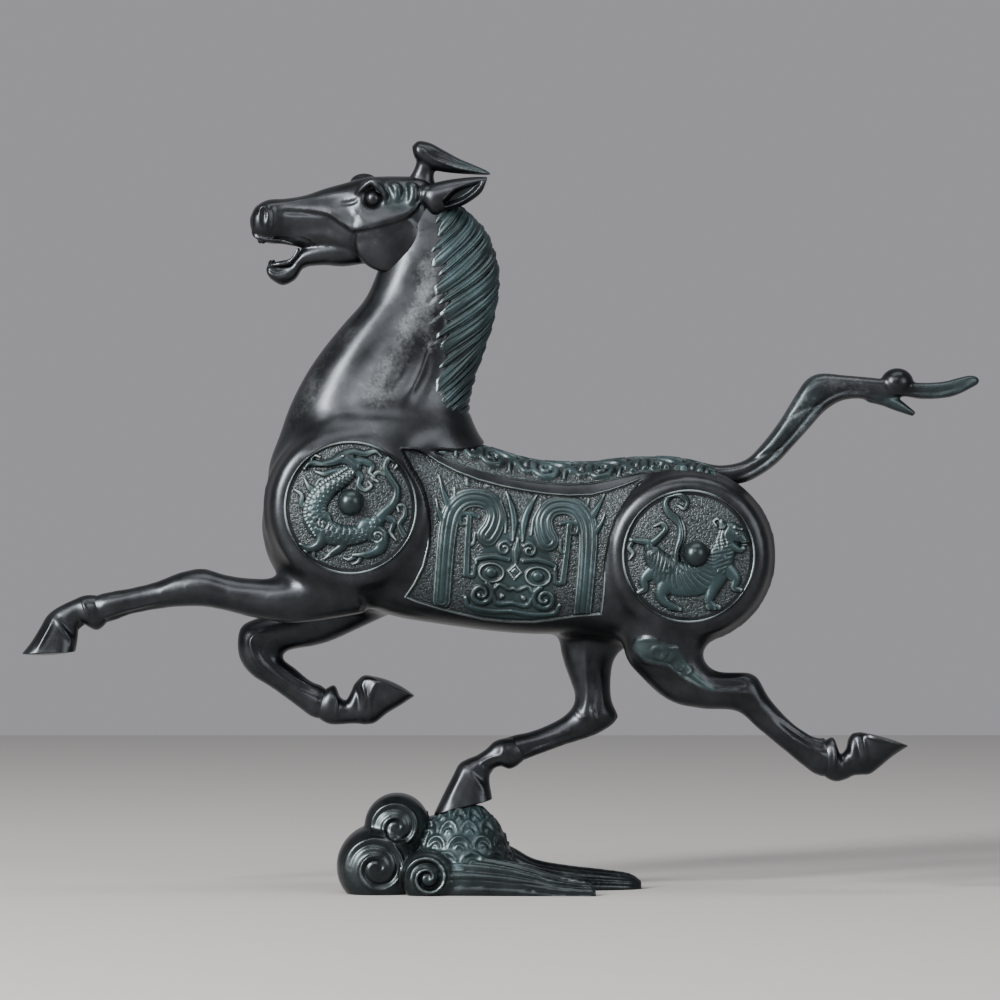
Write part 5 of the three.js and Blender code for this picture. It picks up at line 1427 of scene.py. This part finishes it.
WISP_LINES = [
    ([(-32, 16), (-16, 17.4), (4, 14.6), (22, 9.6), (34, 6.8), (40, 5)], 0.7, -0.8),
    ([(6, 19), (18, 13.4), (32, 10.8), (46, 9), (56, 7.4), (61, 6)], 0.7, -0.7),
]


def roll(x, y, z, radius, depth):
    """A rolled head of cloud: a drum across the base with domed faces."""
    quarter = [(0.02, 1.1), (0.4, 1.06), (0.72, 0.96), (0.93, 0.72), (1, 0.35)]
    profile = [(share * radius, -out * depth) for share, out in quarter]
    profile += [(share * radius, out * depth) for share, out in quarter[::-1]]
    points, faces = turned_form(profile, (x, z), 1)
    return points + (0, y, 0), faces


def fluted(ribs, sides, flutes):
    """A wisp of cloud: a form through ribs whose surface swells by 1.2 |sin(pi n a)| mm between n
    flutes."""
    station = np.linspace(0, len(ribs) - 1, 12 * (len(ribs) - 1) + 1)[:, None]
    around = np.arange(160)[None] / 160
    swelling = 1.2 * np.abs(np.sin(np.pi * flutes * around)) - 0.9
    return closed_form(ribbed(ribs, station, around, sides, lift=swelling))


forms = [roll(*sizes) for sizes in ROLLS]
forms += [ball(HUMP, HUMP_RADII), fluted(NEAR_WISP, (-12, -25), 12), fluted(FAR_WISP, (8, 21), 14)]
points, faces = cast(forms, cube=0.7)
points = run_fillets(points, faces, rounds=4)
lines = [(volute(x, z, 0.82 * size, 0.1 * size, 0.55, -1.2, 20), 1.0, 1.1) for x, _, z, size, _ in ROLLS]
lines += [(volute(x, z, 0.68 * size, 0.1 * size, 0.5, -1.0, 18), 0.9, -0.9) for x, _, z, size, _ in ROLLS]
for share in (0.86, 0.64, 0.42):
    lines += [(np.multiply(line, (1, share)), *rest) for line, *rest in WISP_LINES]
points = chase(points, faces, lines)
# Curls on the hump, drawn on its unrolled side: the turn about its axis, as millimetres round it, and the
# height. Each is three arcs with the same middle, and every other row is set half a curl on.
x, y, z = (points - HUMP).T
unrolled = np.stack([HUMP_RADII[1] * np.arctan2(y, x), points[:, 2]], -1)
on_hump = np.abs(np.linalg.norm((points - HUMP) / HUMP_RADII, axis=1) - 1) < 0.05
curls = np.zeros(len(points))
for row, height in enumerate((8, 15.5, 22.5, 29, 34.5)):
    for number in range(-7, 8):
        middle = (number + row % 2 / 2) * ROUND_THE_HUMP / CURLS_IN_A_ROW
        for radius, rise in ((5.4, 0.9), (3.4, -0.6), (1.6, 0.7)):
            curl = arc(middle, height - 2, radius, radius, 0.02, 0.48, 7)
            distance, passed, _ = from_line(unrolled, curl, reach=3)
            curls += rise * bell(distance, 0.7) * tapered(passed)
points = raised(points, faces, curls * on_hump)
# The hoof's print is cut flat just below the sole, which rises 7 mm from the toe in a length of 26 mm, and
# the underside is filed flat.
TOE_OF_THE_PRINT = (-30.5, 34.2)  # x, z
MIDDLE_OF_THE_PRINT = (-17.5, 6)  # x, y
sole = TOE_OF_THE_PRINT[1] + (points[:, 0] - TOE_OF_THE_PRINT[0]) * 7 / 26
print_of_hoof = np.all(np.abs(points[:, :2] - MIDDLE_OF_THE_PRINT) < (15.5, 14), axis=1)
points[:, 2] = np.where(print_of_hoof, np.minimum(points[:, 2], sole), points[:, 2])
points[:, 2] = np.maximum(points[:, 2], 0)
green = np.clip(1.2 - np.abs(points[:, 0] + 17) / 28, 0, 1) * ramp(points[:, 2], 3, 4)
green *= 0.45 + 0.55 * on_hump
piece("cloud", points, faces, VERDIGRIS, "cloud_base", patina=green, wear_and_highlight=0.45)

# The studio: a plain pale table top before a pale grey wall, a tall soft light from the left front, two weak
# ones from above and in front, and a weak fill from the right. The camera looks level at the near side from
# 2.4 m, with the frame 450 mm wide.
CAMERA_DISTANCE = 2.4
FRAME_WIDTH = 0.45
SENSOR_WIDTH = 36
table_mesh = bpy.data.meshes.new("table")
table_mesh.from_pydata([(-1.6, -1.6, 0), (1.6, -1.6, 0), (1.6, 1.6, 0), (-1.6, 1.6, 0)], [], [(0, 1, 2, 3)])
table = bpy.data.objects.new("table", table_mesh)
table_paint = bpy.data.materials.new("matt_paint")
table_paint.use_nodes = True
paint = table_paint.node_tree.nodes["Principled BSDF"].inputs
paint["Base Color"].default_value = srgb("#8f8d8b")
paint["Roughness"].default_value = 0.8
table_mesh.materials.append(table_paint)
bpy.context.scene.collection.objects.link(table)


def area_light(name, place, target, width, height, watts):
    """A rectangular light at a place, in metres, that shines towards a target."""
    light = bpy.data.lights.new(name, "AREA")
    light.shape = "RECTANGLE"
    light.size = width
    light.size_y = height
    light.energy = watts
    lamp = bpy.data.objects.new(name, light)
    lamp.location = place
    lamp.rotation_euler = (Vector(target) - Vector(place)).to_track_quat("-Z", "Y").to_euler()
    bpy.context.scene.collection.objects.link(lamp)


area_light("left_front", (-1.34, -1.31, 0.95), (-0.03, 0, 0.18), 0.3, 1.0, 128)
area_light("overhead", (0.1, -0.35, 1.75), (0, 0, 0.15), 1.5, 0.8, 20)
area_light("front_top", (-0.3, -1.7, 1.35), (0, 0, 0.15), 0.9, 0.5, 14)
area_light("right_fill", (1.5, -1.5, 0.8), (0, 0, 0.17), 1.0, 1.2, 25)

world = bpy.data.worlds.new("studio")
world.use_nodes = True
world.node_tree.nodes["Background"].inputs[0].default_value = srgb("#b7b6bb")
world.node_tree.nodes["Background"].inputs[1].default_value = 0.7
bpy.context.scene.world = world

camera_data = bpy.data.cameras.new("camera")
camera_data.sensor_width = SENSOR_WIDTH
camera_data.lens = SENSOR_WIDTH * CAMERA_DISTANCE / FRAME_WIDTH
camera = bpy.data.objects.new("camera", camera_data)
camera.location = (-0.0007, -CAMERA_DISTANCE, 0.1764)
camera.rotation_euler = (np.pi / 2, 0, 0)
bpy.context.scene.collection.objects.link(camera)
bpy.context.scene.camera = camera
